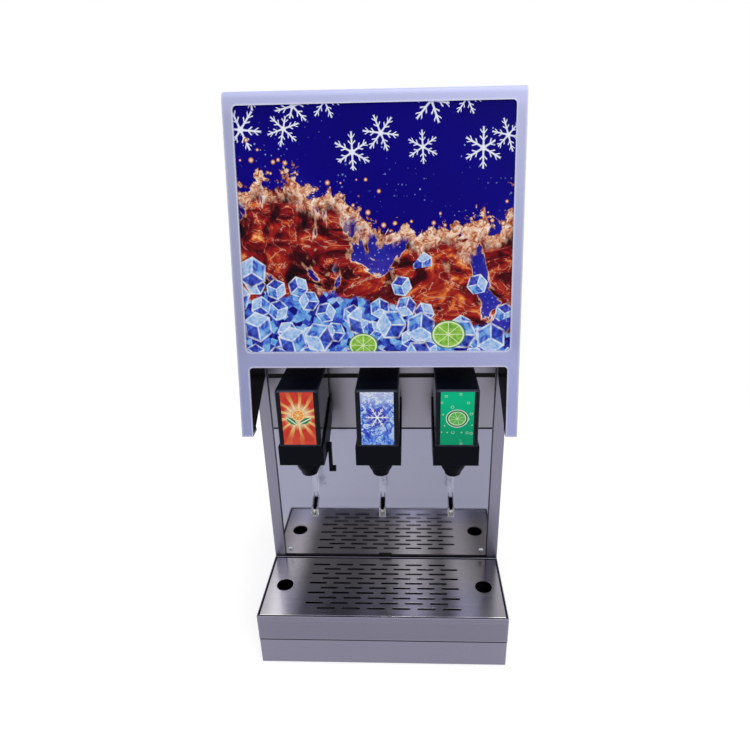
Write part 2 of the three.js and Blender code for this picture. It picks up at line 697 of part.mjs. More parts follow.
function waterBathTank() {
  const body = extrudeUp(bathOutline(-SEAT_GAP), [BATH_FLOOR + SEAT_GAP, RIM_TOP]);
  const rim = extrudeUp(bathOutline(bath.rim), [RIM_TOP - bath.liner, RIM_TOP]);
  const hollow = extrudeUp(bathOutline(-SEAT_GAP - bath.liner), [LINER_FLOOR, RIM_TOP + OVERRUN]);
  return cut(join(body, rim), hollow);
}

const coil = {
  wallGap: 20.7, tubeRadius: 5, pitchShare: 0.09, turns: 7, stepsPerTurn: 24, sides: 6, tailShare: 0.7,
  samplesPerStep: 4,
};
const COIL_RADIUS = (BATH_REAR - BATH_FRONT) / 2 - coil.wallGap;
const COIL_PITCH = (BATH_TOP - LINER_FLOOR) * coil.pitchShare;
const COIL_TURNS_WITH_TAIL = coil.turns + coil.tailShare / TURN;

class CoilPath extends THREE.Curve {
  getPoint(t, target = new THREE.Vector3()) {
    const along = t * COIL_TURNS_WITH_TAIL * TURN;
    const angle = Math.min(along, coil.turns * TURN);
    const straight = (along - angle) * COIL_RADIUS;
    const low = LINER_FLOOR + SEAT_GAP + coil.tubeRadius;
    return target.set(
      COIL_RADIUS * Math.cos(angle) - straight * Math.sin(angle),
      BATH_MIDDLE + COIL_RADIUS * Math.sin(angle) + straight * Math.cos(angle),
      low + COIL_PITCH * along / TURN);
  }
}

function leastSelfGap(path, samples) {
  const points = Array.from({ length: samples + 1 }, (_, i) => path.getPoint(i / samples));
  const apart = Math.ceil(samples / coil.turns / 2);
  let least = Infinity;
  points.forEach((point, i) => {
    for (let k = i + apart; k < points.length; k += 1) {
      least = Math.min(least, point.distanceTo(points[k]));
    }
  });
  return least - 2 * coil.tubeRadius;
}

function evaporatorCoil() {
  const path = new CoilPath();
  const steps = Math.ceil(coil.stepsPerTurn * COIL_TURNS_WITH_TAIL);
  const gap = leastSelfGap(path, steps * coil.samplesPerStep);
  console.log(`evaporator coil, least gap to itself: ${gap.toFixed(2)} mm`);
  return tube(path, coil.tubeRadius, coil.sides, steps);
}

// The shares here are of the coil's radius
const carbonator = {
  xShare: -0.45, radiusShare: 0.42, portCircleShare: 0.22, ringShare: 0.25, height: 230, dome: 16,
  portRadius: 5, portHeight: 18, ports: 3,
};

// A turned vessel with a domed top and bottom
function vesselProfile(radius, low, high, dome) {
  const end = (from, to, level) => arc([0, 0], 1, from, to, CORNER_STEPS)
    .map(([r, z]) => [Math.max(r * radius, 0), level + z * dome]);
  return [...end(-QUARTER, 0, low + dome), ...end(0, QUARTER, high - dome)];
}

function carbonatorTank() {
  const { height, dome, portRadius, portHeight } = carbonator;
  const low = LINER_FLOOR + SEAT_GAP;
  const high = low + height;
  const ports = circle([0, 0], carbonator.portCircleShare * COIL_RADIUS, carbonator.ports)
    .map(([x, y]) => rod(portRadius, [high - dome, high + portHeight]).translate(x, y, 0));
  const shell = revolve(vesselProfile(carbonator.radiusShare * COIL_RADIUS, low, high, dome));
  const ring = rod(carbonator.ringShare * COIL_RADIUS, [low, low + dome]);
  return join(shell, ring, ...ports).translate(carbonator.xShare * COIL_RADIUS, BATH_MIDDLE, 0);
}

const agitator = {
  motorRadius: 30, motorHeight: 58, cap: 6, bridgeHalfWidth: 25, bridge: 3, shaftRadius: 4, boreDepth: 12,
  hubRadius: 8, hubHeight: 14, blades: 4, bladeThickness: 2.5, bladeTurn: THREE.MathUtils.degToRad(32),
  xShare: 0.5, radiusShare: 0.26, levelShare: 0.279,
};
const IMPELLER_LEVEL = LINER_FLOOR + (BATH_TOP - LINER_FLOOR) * agitator.levelShare;

function agitatorMotor() {
  const { motorRadius, motorHeight, cap, bridgeHalfWidth, bridge, shaftRadius, boreDepth } = agitator;
  const low = RIM_TOP + SEAT_GAP;
  const high = low + bridge + motorHeight;
  const reach = (BATH_REAR - BATH_FRONT) / 2 + bath.rim;
  const plate = block(spread(bridgeHalfWidth), spread(reach), [low, low + bridge]);
  const can = revolve([
    [0, low + bridge / 2], [motorRadius, low + bridge / 2], [motorRadius, high - cap],
    [motorRadius - cap, high], [0, high],
  ]);
  const bore = rod(shaftRadius + RUNNING_GAP, [low - OVERRUN, low + bridge + boreDepth]);
  return cut(join(plate, can), bore);
}

const BLADE_CORNER_SHARE = 0.25;

// Flat blades round a hub, each turned about its own radius
function bladeRing(count, inner, outer, breadth, thickness, pitchAngle) {
  return Array.from({ length: count }, (_, i) => {
    const corner = breadth * BLADE_CORNER_SHARE;
    const outline = rectangle([inner, outer], spread(breadth / 2), corner, END_STEPS);
    return extrudeUp(outline, spread(thickness / 2)).rotateX(pitchAngle).rotateZ(i * TURN / count);
  });
}

function agitatorImpeller() {
  const { shaftRadius, boreDepth, bridge, hubRadius, hubHeight } = agitator;
  const top = RIM_TOP + bridge + boreDepth;
  const hub = rod(hubRadius, spread(hubHeight / 2));
  const blades = bladeRing(agitator.blades, hubRadius / 2, agitator.radiusShare * COIL_RADIUS, hubHeight,
    agitator.bladeThickness, agitator.bladeTurn);
  return join(rod(shaftRadius, [0, top - IMPELLER_LEVEL]), hub, ...blades);
}

const compressor = {
  x: insideX(-0.475), y: insideY(0.677), radius: INTERIOR_DEPTH * 0.222, height: 165, dome: 42, seam: 3,
  seamLevel: 95, plateOverhang: 10, plateSetback: 14, mountRadius: 11, mountInset: 14, mountHeight: 12,
  portRadius: 5, portReach: 12, portLevel: 110, portTurn: THREE.MathUtils.degToRad(60),
};

function compressorUnit() {
  const c = compressor;
  const plateLow = DECK + c.mountHeight;
  const halfWidth = c.radius + c.plateOverhang;
  const halfDepth = c.radius - c.plateSetback;
  const shell = revolve(vesselProfile(c.radius, plateLow + SHEET, plateLow + c.height, c.dome));
  const seam = rod(c.radius + c.seam, spread(c.seam, plateLow + c.seamLevel), ROUND_SIDES);
  const plate = extrudeUp(rectangle(spread(halfWidth), spread(halfDepth), c.mountInset),
    [plateLow, plateLow + 2 * SHEET]);
  const mounts = [-1, 1].flatMap((a) => [-1, 1].map((b) => rod(c.mountRadius, [DECK, plateLow + SHEET])
    .translate(a * (halfWidth - c.mountInset), b * (halfDepth - c.mountInset), 0)));
  const port = rodAcross(c.portRadius, [0, c.radius + c.portReach])
    .translate(0, 0, plateLow + c.portLevel);
  const ports = [port, port.clone().rotateZ(c.portTurn)];
  return join(shell, seam, plate, ...mounts, ...ports).translate(c.x, c.y, 0);
}

const condenser = {
  x: insideX(0.475), halfWidth: insideX(0.375), front: insideY(0.492), depth: 36, low: 40,
  height: insideX(0.8), fins: 16, fin: 1.5, spine: 4, endPlate: 2, bendRadius: 10, bendTube: 4, bends: 3,
  bendSides: 6, bendSteps: 6,
};
const CONDENSER_REAR = condenser.front + condenser.depth;
const CONDENSER_TOP = condenser.low + condenser.height;
const FAN_LEVEL = condenser.low + condenser.height / 2;

function condenserUnit() {
  const c = condenser;
  const pitch = (2 * c.halfWidth - c.fin) / (c.fins - 1);
  const comb = [[c.halfWidth, CONDENSER_REAR], [-c.halfWidth, CONDENSER_REAR]];
  for (let i = 0; i < c.fins; i += 1) {
    const left = -c.halfWidth + i * pitch;
    if (i > 0) comb.push([left, CONDENSER_REAR - c.spine]);
    comb.push([left, c.front], [left + c.fin, c.front]);
    if (i < c.fins - 1) comb.push([left + c.fin, CONDENSER_REAR - c.spine]);
  }
  const core = extrudeUp(comb, [c.low, CONDENSER_TOP]);
  const ends = [-1, 1].map((side) => {
    const faces = [c.halfWidth - c.endPlate / 2, c.halfWidth + c.endPlate].map((x) => side * x);
    return block(faces.sort((a, b) => a - b), [c.front - c.endPlate, CONDENSER_REAR],
      [DECK, CONDENSER_TOP + c.endPlate]);
  });
  const bends = Array.from({ length: c.bends }, (_, i) => {
    const level = c.low + (2 * i + 1) * c.height / (2 * c.bends);
    const points = arc([c.halfWidth, level], c.bendRadius, -QUARTER, QUARTER, c.bendSteps)
      .map(([x, z]) => new THREE.Vector3(x, c.front + c.depth / 2, z));
    const path = new THREE.CatmullRomCurve3(points);
    return tube(path, c.bendTube, c.bendSides, c.bendSteps);
  });
  return join(core, ...ends, ...bends).translate(c.x, 0, 0);
}

// The shares here are of the condenser's half width
const fan = {
  plate: 2, duct: 22, holeShare: 0.93, bladeShare: 0.865, ductWall: 3, motorRadius: 22, motorLength: 46,
  struts: 3, strutHalfWidth: 4, strut: 4, strutTurn: THREE.MathUtils.degToRad(30), hubRadius: 18,
  hubLength: 12, hubFront: 10, shaftRadius: 3, boreDepth: 12, blades: 5, bladeBreadth: 30,
  bladeThickness: 2, bladeTurn: THREE.MathUtils.degToRad(24),
};
const FAN_FRONT = CONDENSER_REAR + SEAT_GAP;

function fanShroud() {
  const { plate, duct, ductWall, motorRadius, motorLength, strutHalfWidth, strut } = fan;
  const holeRadius = fan.holeShare * condenser.halfWidth;
  const outline = rectangle(spread(condenser.halfWidth), [DECK - FAN_LEVEL, CONDENSER_TOP - FAN_LEVEL]);
  const wall = extrudeBack(outline, [0, plate], [circle([0, 0], holeRadius)]);
  const ring = extrudeBack(circle([0, 0], holeRadius + ductWall), [0, duct], [circle([0, 0], holeRadius)]);
  const motorLow = duct - strut;
  const motor = rodBack(motorRadius, [motorLow, motorLow + motorLength], ROUND_SIDES);
  const struts = Array.from({ length: fan.struts }, (_, i) => (
    block([motorRadius / 2, holeRadius + ductWall / 2], [motorLow, duct], spread(strutHalfWidth))
      .rotateY(i * TURN / fan.struts + fan.strutTurn)));
  const bore = rodBack(fan.shaftRadius + RUNNING_GAP, [motorLow - OVERRUN, motorLow + fan.boreDepth]);
  return cut(join(wall, ring, motor, ...struts), bore);
}

function fanBlade() {
  const { hubRadius, hubLength, hubFront, shaftRadius, boreDepth, duct, strut } = fan;
  const hub = rodBack(hubRadius, [hubFront - hubLength / 2, hubFront + hubLength / 2], ROUND_SIDES);
  const shaft = rodBack(shaftRadius, [hubFront, duct - strut + boreDepth - SEAT_GAP]);
  const reach = fan.bladeShare * condenser.halfWidth;
  const blades = bladeRing(fan.blades, hubRadius / 2, reach, fan.bladeBreadth, fan.bladeThickness,
    fan.bladeTurn).map((blade) => blade.rotateX(QUARTER).translate(0, hubFront, 0));
  return join(hub, shaft, ...blades);
}

// Drink supply and control

const pump = {
  x: insideX(-0.55), y: insideY(0.184), z: 66, motorRadius: 38, motorHalfLength: 50, headRadius: 26,
  headLength: 42, cap: 6, footHalfWidth: 36, footHalfDepth: 30, foot: 3, portRadius: 6, portHeight: 14,
  portShares: [0.3, 0.8],
};

function carbonatorPump() {
  const p = pump;
  const motor = revolve([
    [0, -p.motorHalfLength], [p.motorRadius - p.cap, -p.motorHalfLength],
    [p.motorRadius, p.cap - p.motorHalfLength], [p.motorRadius, p.motorHalfLength], [0, p.motorHalfLength],
  ]).rotateY(QUARTER);
  const head = rodAcross(p.headRadius, [p.motorHalfLength - p.cap, p.motorHalfLength + p.headLength]);
  const foot = block(spread(p.footHalfWidth), spread(p.footHalfDepth), [DECK - p.z, DECK - p.z + p.foot]);
  const saddle = block(spread(p.footHalfWidth / 2), spread(p.footHalfDepth / 2),
    [DECK - p.z, -p.motorRadius / 2]);
  const ports = p.portShares.map((share) => rod(p.portRadius, [0, p.headRadius + p.portHeight])
    .translate(p.motorHalfLength + share * p.headLength, 0, 0));
  return join(motor, head, foot, saddle, ...ports).translate(p.x, p.y, p.z);
}

const control = {
  x: insideX(0.5), halfWidth: 60, frontGap: 20, depth: 65, height: 140, corner: 5, lid: 4, overhang: 2,
};

function controlBox() {
  const { x, halfWidth, frontGap, depth, height, corner, overhang } = control;
  const front = INTERIOR_FRONT + frontGap;
  const outline = (outset) => rectangle(
    spread(halfWidth + outset, x), [front - outset, front + depth + outset], corner);
  const body = extrudeUp(outline(0), [DECK, DECK + height]);
  return join(body, extrudeUp(outline(overhang), [DECK + height - control.lid, DECK + height]));
}

// Valve, in a frame whose Y is zero on the valve panel

const valve = {
  depth: 115, bottom: 357, blockTop: 388, blockHalfWidth: 33, coverHalfWidth: 30.5, coverTop: 477,
  coverWall: 2.4, coverSplit: 389, rearSplit: 423, frontLand: 18, coverRearGap: 9, chinDepth: 62,
  rearChin: 384, coreGap: 0.9, edgeRadius: 2,
};
const mount = { thickness: 12, halfWidth: 25, low: 396, high: 446, stubReach: 12, corner: 4 };
const card = { halfWidth: 23.5, low: 391.5, high: 474.5, thickness: 1.5, recess: 1.8 };
const nozzle = {
  fromPanel: 61, spigotRadius: 15, spigotHeight: 7, socketRadius: 15.5, socketDepth: 9, barrelRadius: 20,
  taperTop: 17, taperFoot: 5, lowRadius: 13.3, height: 45, lipRadius: 4, bore: 9, boreTop: 11, boreDrop: 14,
};
const lever = {
  pinFromPanel: 24, pinLevel: 378, pinRadius: 2, pinHalfLength: 17, eyeRadius: 5.5, halfWidth: 5.25,
  thickness: 6, kneeLevel: 246, tipLevel: 234, tipReach: 24, lip: 14, grooveHalfWidth: 2.6, grooveDepth: 2.4,
  grooveTop: 362, slotHalfWidth: 6.4, slotFront: 9, slotRear: 7, slotTop: 387,
};
const shutoff = {
  fromPanel: 72, level: 366, hubRadius: 6, thickness: 5, halfWidth: 4, length: 40, knobRadius: 5,
  knobReach: 5, studRadius: 3, studLength: 8,
};

function valveX(index) {
  return (index - (VALVE_NAMES.length - 1) / 2) * VALVE_PITCH;
}

// The line on which cover and body part, a clearance above the body
function splitLine(clearance) {
  const rise = valve.depth - valve.frontLand;
  const slope = (valve.rearSplit - valve.coverSplit) / (rise - valve.coverRearGap);
  return {
    front: [-valve.depth, valve.blockTop + clearance],
    land: [valve.frontLand - valve.depth, valve.blockTop + clearance],
    at: (y) => [y, valve.blockTop + clearance + (y - valve.frontLand + valve.depth) * slope],
  };
}

function mountingBlock() {
  const { thickness, halfWidth, low, high, stubReach, corner } = mount;
  const plate = extrudeBack(rectangle(spread(halfWidth), [low, high], corner), [-thickness, -SEAT_GAP]);
  const stubs = [-1, 1].map((side) => rodBack(PORT_RADIUS, [-thickness / 2, stubReach])
    .translate(side * PORT_SPACING / 2, 0, PORT_LEVEL));
  return join(plate, ...stubs);
}

function valveBody() {
  const rear = -mount.thickness - SEAT_GAP;
  const split = splitLine(0);
  const lower = extrudeAcross([
    [-valve.depth, valve.bottom], [-valve.chinDepth, valve.bottom], [rear, valve.rearChin],
    split.at(rear), split.land, split.front,
  ], spread(valve.blockHalfWidth));
  const coreHalf = valve.coverHalfWidth - valve.coverWall - valve.coreGap;
  const coreFront = valve.coverWall + card.recess + valve.coreGap - valve.depth;
  const coreTop = valve.coverTop - valve.coverWall - valve.coreGap;
  const core = extrudeAcross(rectangle([coreFront, rear], [valve.bottom + OVERRUN, coreTop]),
    spread(coreHalf));
  const trimmedCore = cut(core, extrudeAcross(
    [[-valve.chinDepth, valve.bottom], [0, valve.bottom], [0, valve.rearChin], [rear, valve.rearChin]],
    spread(valve.blockHalfWidth + OVERRUN)));
  const socketLevels = [valve.bottom - OVERRUN, valve.bottom + nozzle.socketDepth];
  const socket = rod(nozzle.socketRadius, socketLevels, ROUND_SIDES).translate(0, -nozzle.fromPanel, 0);
  const leverSlot = block(spread(lever.slotHalfWidth),
    [-lever.pinFromPanel - lever.slotFront, -lever.pinFromPanel + lever.slotRear],
    [valve.bottom - OVERRUN, lever.slotTop]);
  const pinBore = rodAcross(lever.pinRadius + RUNNING_GAP, spread(lever.pinHalfLength + SEAT_GAP))
    .translate(0, -lever.pinFromPanel, lever.pinLevel);
  return cut(join(lower, trimmedCore), socket, leverSlot, pinBore);
}

function valveCover() {
  const { depth, coverTop, coverWall, coverHalfWidth, coverRearGap, edgeRadius } = valve;
  const split = splitLine(SEAT_GAP);
  const rear = -coverRearGap - mount.thickness / 2;
  const top = [-depth, coverTop];
  const outer = extrudeAcross([
    split.front, split.land, split.at(rear), [rear, coverTop],
    ...fillet([rear, coverTop], top, split.front, edgeRadius, END_STEPS),
  ], spread(coverHalfWidth));
  const inner = block(spread(coverHalfWidth - coverWall),
    [card.recess + coverWall - depth, rear + OVERRUN], [valve.blockTop - OVERRUN, coverTop - coverWall]);
  const recess = block(spread(card.halfWidth + SEAT_GAP), [-depth - OVERRUN, card.recess - depth],
    [card.low - SEAT_GAP, card.high + SEAT_GAP]);
  return cut(outer, inner, recess);
}

function nameCard() {
  const back = card.recess - SEAT_GAP - valve.depth;
  return block(spread(card.halfWidth), [back - card.thickness, back], [card.low, card.high]);
}

// The nozzle turns about its own axis, so it stands on the frame's Z axis
function nozzleGeometry() {
  const n = nozzle;
  const seat = valve.bottom - SEAT_GAP;
  const low = seat - n.height;
  const lip = arc([n.lowRadius - n.lipRadius, low + n.lipRadius], n.lipRadius, -QUARTER, 0, END_STEPS);
  return revolve([
    [n.bore, low], ...lip, [n.lowRadius, low + n.taperFoot], [n.barrelRadius, low + n.taperTop],
    [n.barrelRadius, seat], [n.spigotRadius, seat], [n.spigotRadius, seat + n.spigotHeight],
    [n.boreTop, seat + n.spigotHeight], [n.bore, seat - n.boreDrop], [n.bore, low],
  ]);
}

function leverFrontPath() {
  const front = -lever.pinFromPanel - lever.thickness / 2;
  return [
    [front, lever.pinLevel], [front, lever.kneeLevel],
    [front - lever.tipReach, lever.tipLevel], [front - lever.tipReach, lever.tipLevel - lever.lip],
  ];
}

function leverGeometry() {
  const path = leverFrontPath();
  const arm = extrudeAcross(foldedSheet(path, lever.thickness), spread(lever.halfWidth));
  const eye = rodAcross(lever.eyeRadius, spread(lever.halfWidth), ROUND_SIDES)
    .translate(0, -lever.pinFromPanel, lever.pinLevel);
  const [[front], knee, tip] = path;
  const groove = extrudeAcross(
    foldedSheet([[front, lever.grooveTop], knee, tip].map(([y, z]) => [y - lever.grooveDepth, z]),
      2 * lever.grooveDepth),
    spread(lever.grooveHalfWidth));
  const bore = rodAcross(lever.pinRadius + RUNNING_GAP, spread(lever.halfWidth + OVERRUN))
    .translate(0, -lever.pinFromPanel, lever.pinLevel);
  return cut(join(arm, eye), groove, bore);
}

function leverPin() {
  return rodAcross(lever.pinRadius, spread(lever.pinHalfLength));
}

function shutoffLever() {
  const { hubRadius, thickness, halfWidth, length, knobRadius, knobReach, studRadius } = shutoff;
  const arm = extrudeAcross(rectangle(spread(halfWidth), [-length, 0]), [0, thickness]);
  const hub = rodAcross(hubRadius, [0, thickness]);
  const knob = rodAcross(knobRadius, [0, thickness + knobReach]).translate(0, 0, -length);
  const stud = rodAcross(studRadius, [-shutoff.studLength, thickness / 2]);
  return join(arm, hub, knob, stud);
}

function addValve(name, x, cardColor) {
  const group = new THREE.Group();
  group.position.set(x, PANEL_FRONT, 0);
  dispenser.add(group);
  place(`mounting_block_${name}`, mountingBlock(), mattBlack(), group);
  const stud = rodAcross(shutoff.studRadius + RUNNING_GAP,
    [valve.blockHalfWidth - shutoff.studLength, valve.blockHalfWidth + OVERRUN])
    .translate(0, -shutoff.fromPanel, shutoff.level);
  const hasShutoff = name === "left";
  place(`valve_body_${name}`, hasShutoff ? cut(valveBody(), stud) : valveBody(), mattBlack(), group);
  place(`valve_cover_${name}`, valveCover(), glossBlack(), group);
  place(`name_card_${name}`, nameCard(), printedPanel(cardColor), group);
  place(`nozzle_${name}`, nozzleGeometry(), glossBlack(), group).position.y = -nozzle.fromPanel;
  place(`lever_${name}`, leverGeometry(), clearPlastic(), group);
  place(`lever_pin_${name}`, leverPin(), zincSteel(), group)
    .position.set(0, -lever.pinFromPanel, lever.pinLevel);
  if (hasShutoff) {
    place(`shutoff_lever_${name}`, shutoffLever(), mattBlack(), group)
      .position.set(valve.blockHalfWidth + SEAT_GAP, -shutoff.fromPanel, shutoff.level);
  }
}

// The whole machine

function addBase() {
  addFeet();
  place("base_chassis", baseChassis(), blackSteel());
  place("plinth_box", plinthBox(), brushedSteel());
  place("drip_tray", dripTray(), brushedSteel());
  place("cup_grille", cupGrille(), brushedSteel());
}

function addCabinet() {
  place("right_side_panel", rightSidePanel(), brushedSteel());
  place("left_side_panel", mirrored(rightSidePanel()), brushedSteel());
  place("rear_panel", rearPanel(), zincSteel());
  place("upper_front_panel", upperFrontPanel(), brushedSteel());
  place("valve_panel", valvePanel(), brushedSteel());
  place("lower_splash_panel", lowerSplashPanel(), mirrorSteel());
  for (const [side, sign] of [["left", -1], ["right", 1]]) {
    place(`splash_screw_${side}`, splashScrewGeometry(), zincSteel())
      .position.set(sign * SCREW_X, PANEL_FRONT, splashScrew.level);
  }
  place("top_lid", topLid(), brushedSteel());
  place("inlet_manifold", inletManifold(), zincSteel());
  place("power_inlet", powerInlet(), mattBlack()).position.set(inlet.x, 0, inlet.z);
  place("power_switch", rockerSwitch(), glossBlack()).position.set(
    inlet.x, CABINET_REAR + SEAT_GAP + inlet.plate - rocker.pivotDepth,
    inlet.z + (inlet.rockerLow + inlet.rockerHigh) / 2);
}

function addHead() {
  place("fascia_frame", fasciaFrame(), lavenderPlastic());
  place("right_cheek", rightCheek(), mattBlack());
  place("left_cheek", mirrored(rightCheek()), mattBlack());
  place("poster_panel", posterPanel(), printedPanel(0x180c86));
  place("light_panel", lightPanel(), whitePlastic());
}

function addCooling() {
  place("tank_shelf", tankShelf(), zincSteel());
  place("tank_insulation", tankInsulation(), foam());
  place("water_bath_tank", waterBathTank(), brushedSteel());
  place("evaporator_coil", evaporatorCoil(), copper());
  place("carbonator_tank", carbonatorTank(), brushedSteel());
  const agitatorX = agitator.xShare * COIL_RADIUS;
  place("agitator_motor", agitatorMotor(), blackSteel()).position.set(agitatorX, BATH_MIDDLE, 0);
  place("agitator_impeller", agitatorImpeller(), whitePlastic())
    .position.set(agitatorX, BATH_MIDDLE, IMPELLER_LEVEL);
  place("compressor", compressorUnit(), blackSteel());
  place("condenser", condenserUnit(), aluminium());
  place("fan_shroud", fanShroud(), blackSteel()).position.set(condenser.x, FAN_FRONT, FAN_LEVEL);
  place("fan_blade", fanBlade(), aluminium()).position.set(condenser.x, FAN_FRONT, FAN_LEVEL);
  place("carbonator_pump", carbonatorPump(), zincSteel());
  place("control_box", controlBox(), zincSteel());
}

addBase();
addCabinet();
addHead();
addCooling();
const cardColors = [0xe1553c, 0x5a8ad6, 0x0a965a];
VALVE_NAMES.forEach((name, i) => addValve(name, valveX(i), cardColors[i]));

export default dispenser;
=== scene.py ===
"""Soda fountain dispenser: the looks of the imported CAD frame, as a Blender 4.5 scene.

Everything is in metres in the frame's own axes: X to the right, -Y towards the customer, Z up.
Sizes that a maker would read off a drawing are written in millimetres and multiplied by MM.
"""

import json
import logging
import math
from collections.abc import Callable, Sequence
from dataclasses import dataclass
from enum import Enum

import bmesh
import bpy
import numpy as np
from mathutils import Matrix, Vector


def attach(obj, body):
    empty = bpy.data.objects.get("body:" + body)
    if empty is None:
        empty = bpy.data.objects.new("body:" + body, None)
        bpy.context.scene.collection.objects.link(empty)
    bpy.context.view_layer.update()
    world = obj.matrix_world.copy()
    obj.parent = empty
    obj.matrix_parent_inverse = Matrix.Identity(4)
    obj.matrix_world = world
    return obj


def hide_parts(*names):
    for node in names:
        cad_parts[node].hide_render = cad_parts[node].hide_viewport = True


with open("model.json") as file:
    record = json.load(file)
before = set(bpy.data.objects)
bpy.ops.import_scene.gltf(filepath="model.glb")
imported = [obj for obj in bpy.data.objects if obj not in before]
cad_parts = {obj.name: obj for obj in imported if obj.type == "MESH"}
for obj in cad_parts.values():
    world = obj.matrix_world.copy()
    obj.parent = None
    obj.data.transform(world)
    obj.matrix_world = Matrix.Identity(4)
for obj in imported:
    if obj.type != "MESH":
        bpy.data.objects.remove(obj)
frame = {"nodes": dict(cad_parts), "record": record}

MM = 0.001
# Points of a CAD solid that are closer than this, in metres, are one point.
SAME_PLACE = 1e-6
# The same for a surface that is made here.
TOUCHING = 1e-7
# Neighbouring faces of a CAD solid that turn less than this are one flat face.
FLAT = math.radians(0.2)
# Edges of a CAD solid that turn further than this are rounded.
SHARP = math.radians(28)
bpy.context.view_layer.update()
BODY_OF = {node: body for body, nodes in frame["record"]["behaviour"]["bodies"].items() for node in nodes}

logging.basicConfig(level=logging.INFO, format="%(name)s: %(message)s")
log = logging.getLogger("dispenser")

Colour = tuple[float, float, float]


def ink(red: int, green: int, blue: int) -> Colour:
    """Turns a screen colour of 0 to 255 into the linear colour that a shader takes.

    Args:
        red: Red, 0 to 255.
        green: Green, 0 to 255.
        blue: Blue, 0 to 255.

    Returns:
        The three linear values, by the two-part curve of the sRGB standard.
    """
    shares = np.array([red, green, blue]) / 255.0
    linear = np.where(shares <= 0.04045, shares / 12.92, ((shares + 0.055) / 1.055) ** 2.4)
    return tuple(float(value) for value in linear)


def inks(*stops: tuple[float, int, int, int]) -> tuple[tuple[float, Colour], ...]:
    """Stops of a ramp, each given as its place and the red, green and blue of a screen colour."""
    return tuple((place, ink(*screen)) for place, *screen in stops)


def toned(colour: Colour, level: float) -> Colour:
    """A colour times a level."""
    return tuple(share * level for share in colour)


# Node graphs


class Wire:
    """A value inside a node tree that can be used in a formula."""

    def __init__(self, graph: "Graph", socket: bpy.types.NodeSocket) -> None:
        """Keeps the socket and the graph that later steps of the formula are added to."""
        self.graph, self.socket = graph, socket

    def __add__(self, other: "Feed") -> "Wire":
        """The sum of the two."""
        return self.graph.math("ADD", self, other)

    def __sub__(self, other: "Feed") -> "Wire":
        """This less the other."""
        return self.graph.math("SUBTRACT", self, other)

    def __rsub__(self, other: "Feed") -> "Wire":
        """The other less this."""
        return self.graph.math("SUBTRACT", other, self)

    def __mul__(self, other: "Feed") -> "Wire":
        """The product of the two."""
        return self.graph.math("MULTIPLY", self, other)

    def __truediv__(self, other: "Feed") -> "Wire":
        """This divided by the other."""
        return self.graph.math("DIVIDE", self, other)

    __radd__ = __add__
    __rmul__ = __mul__


Feed = Wire | float | int | Sequence[float]


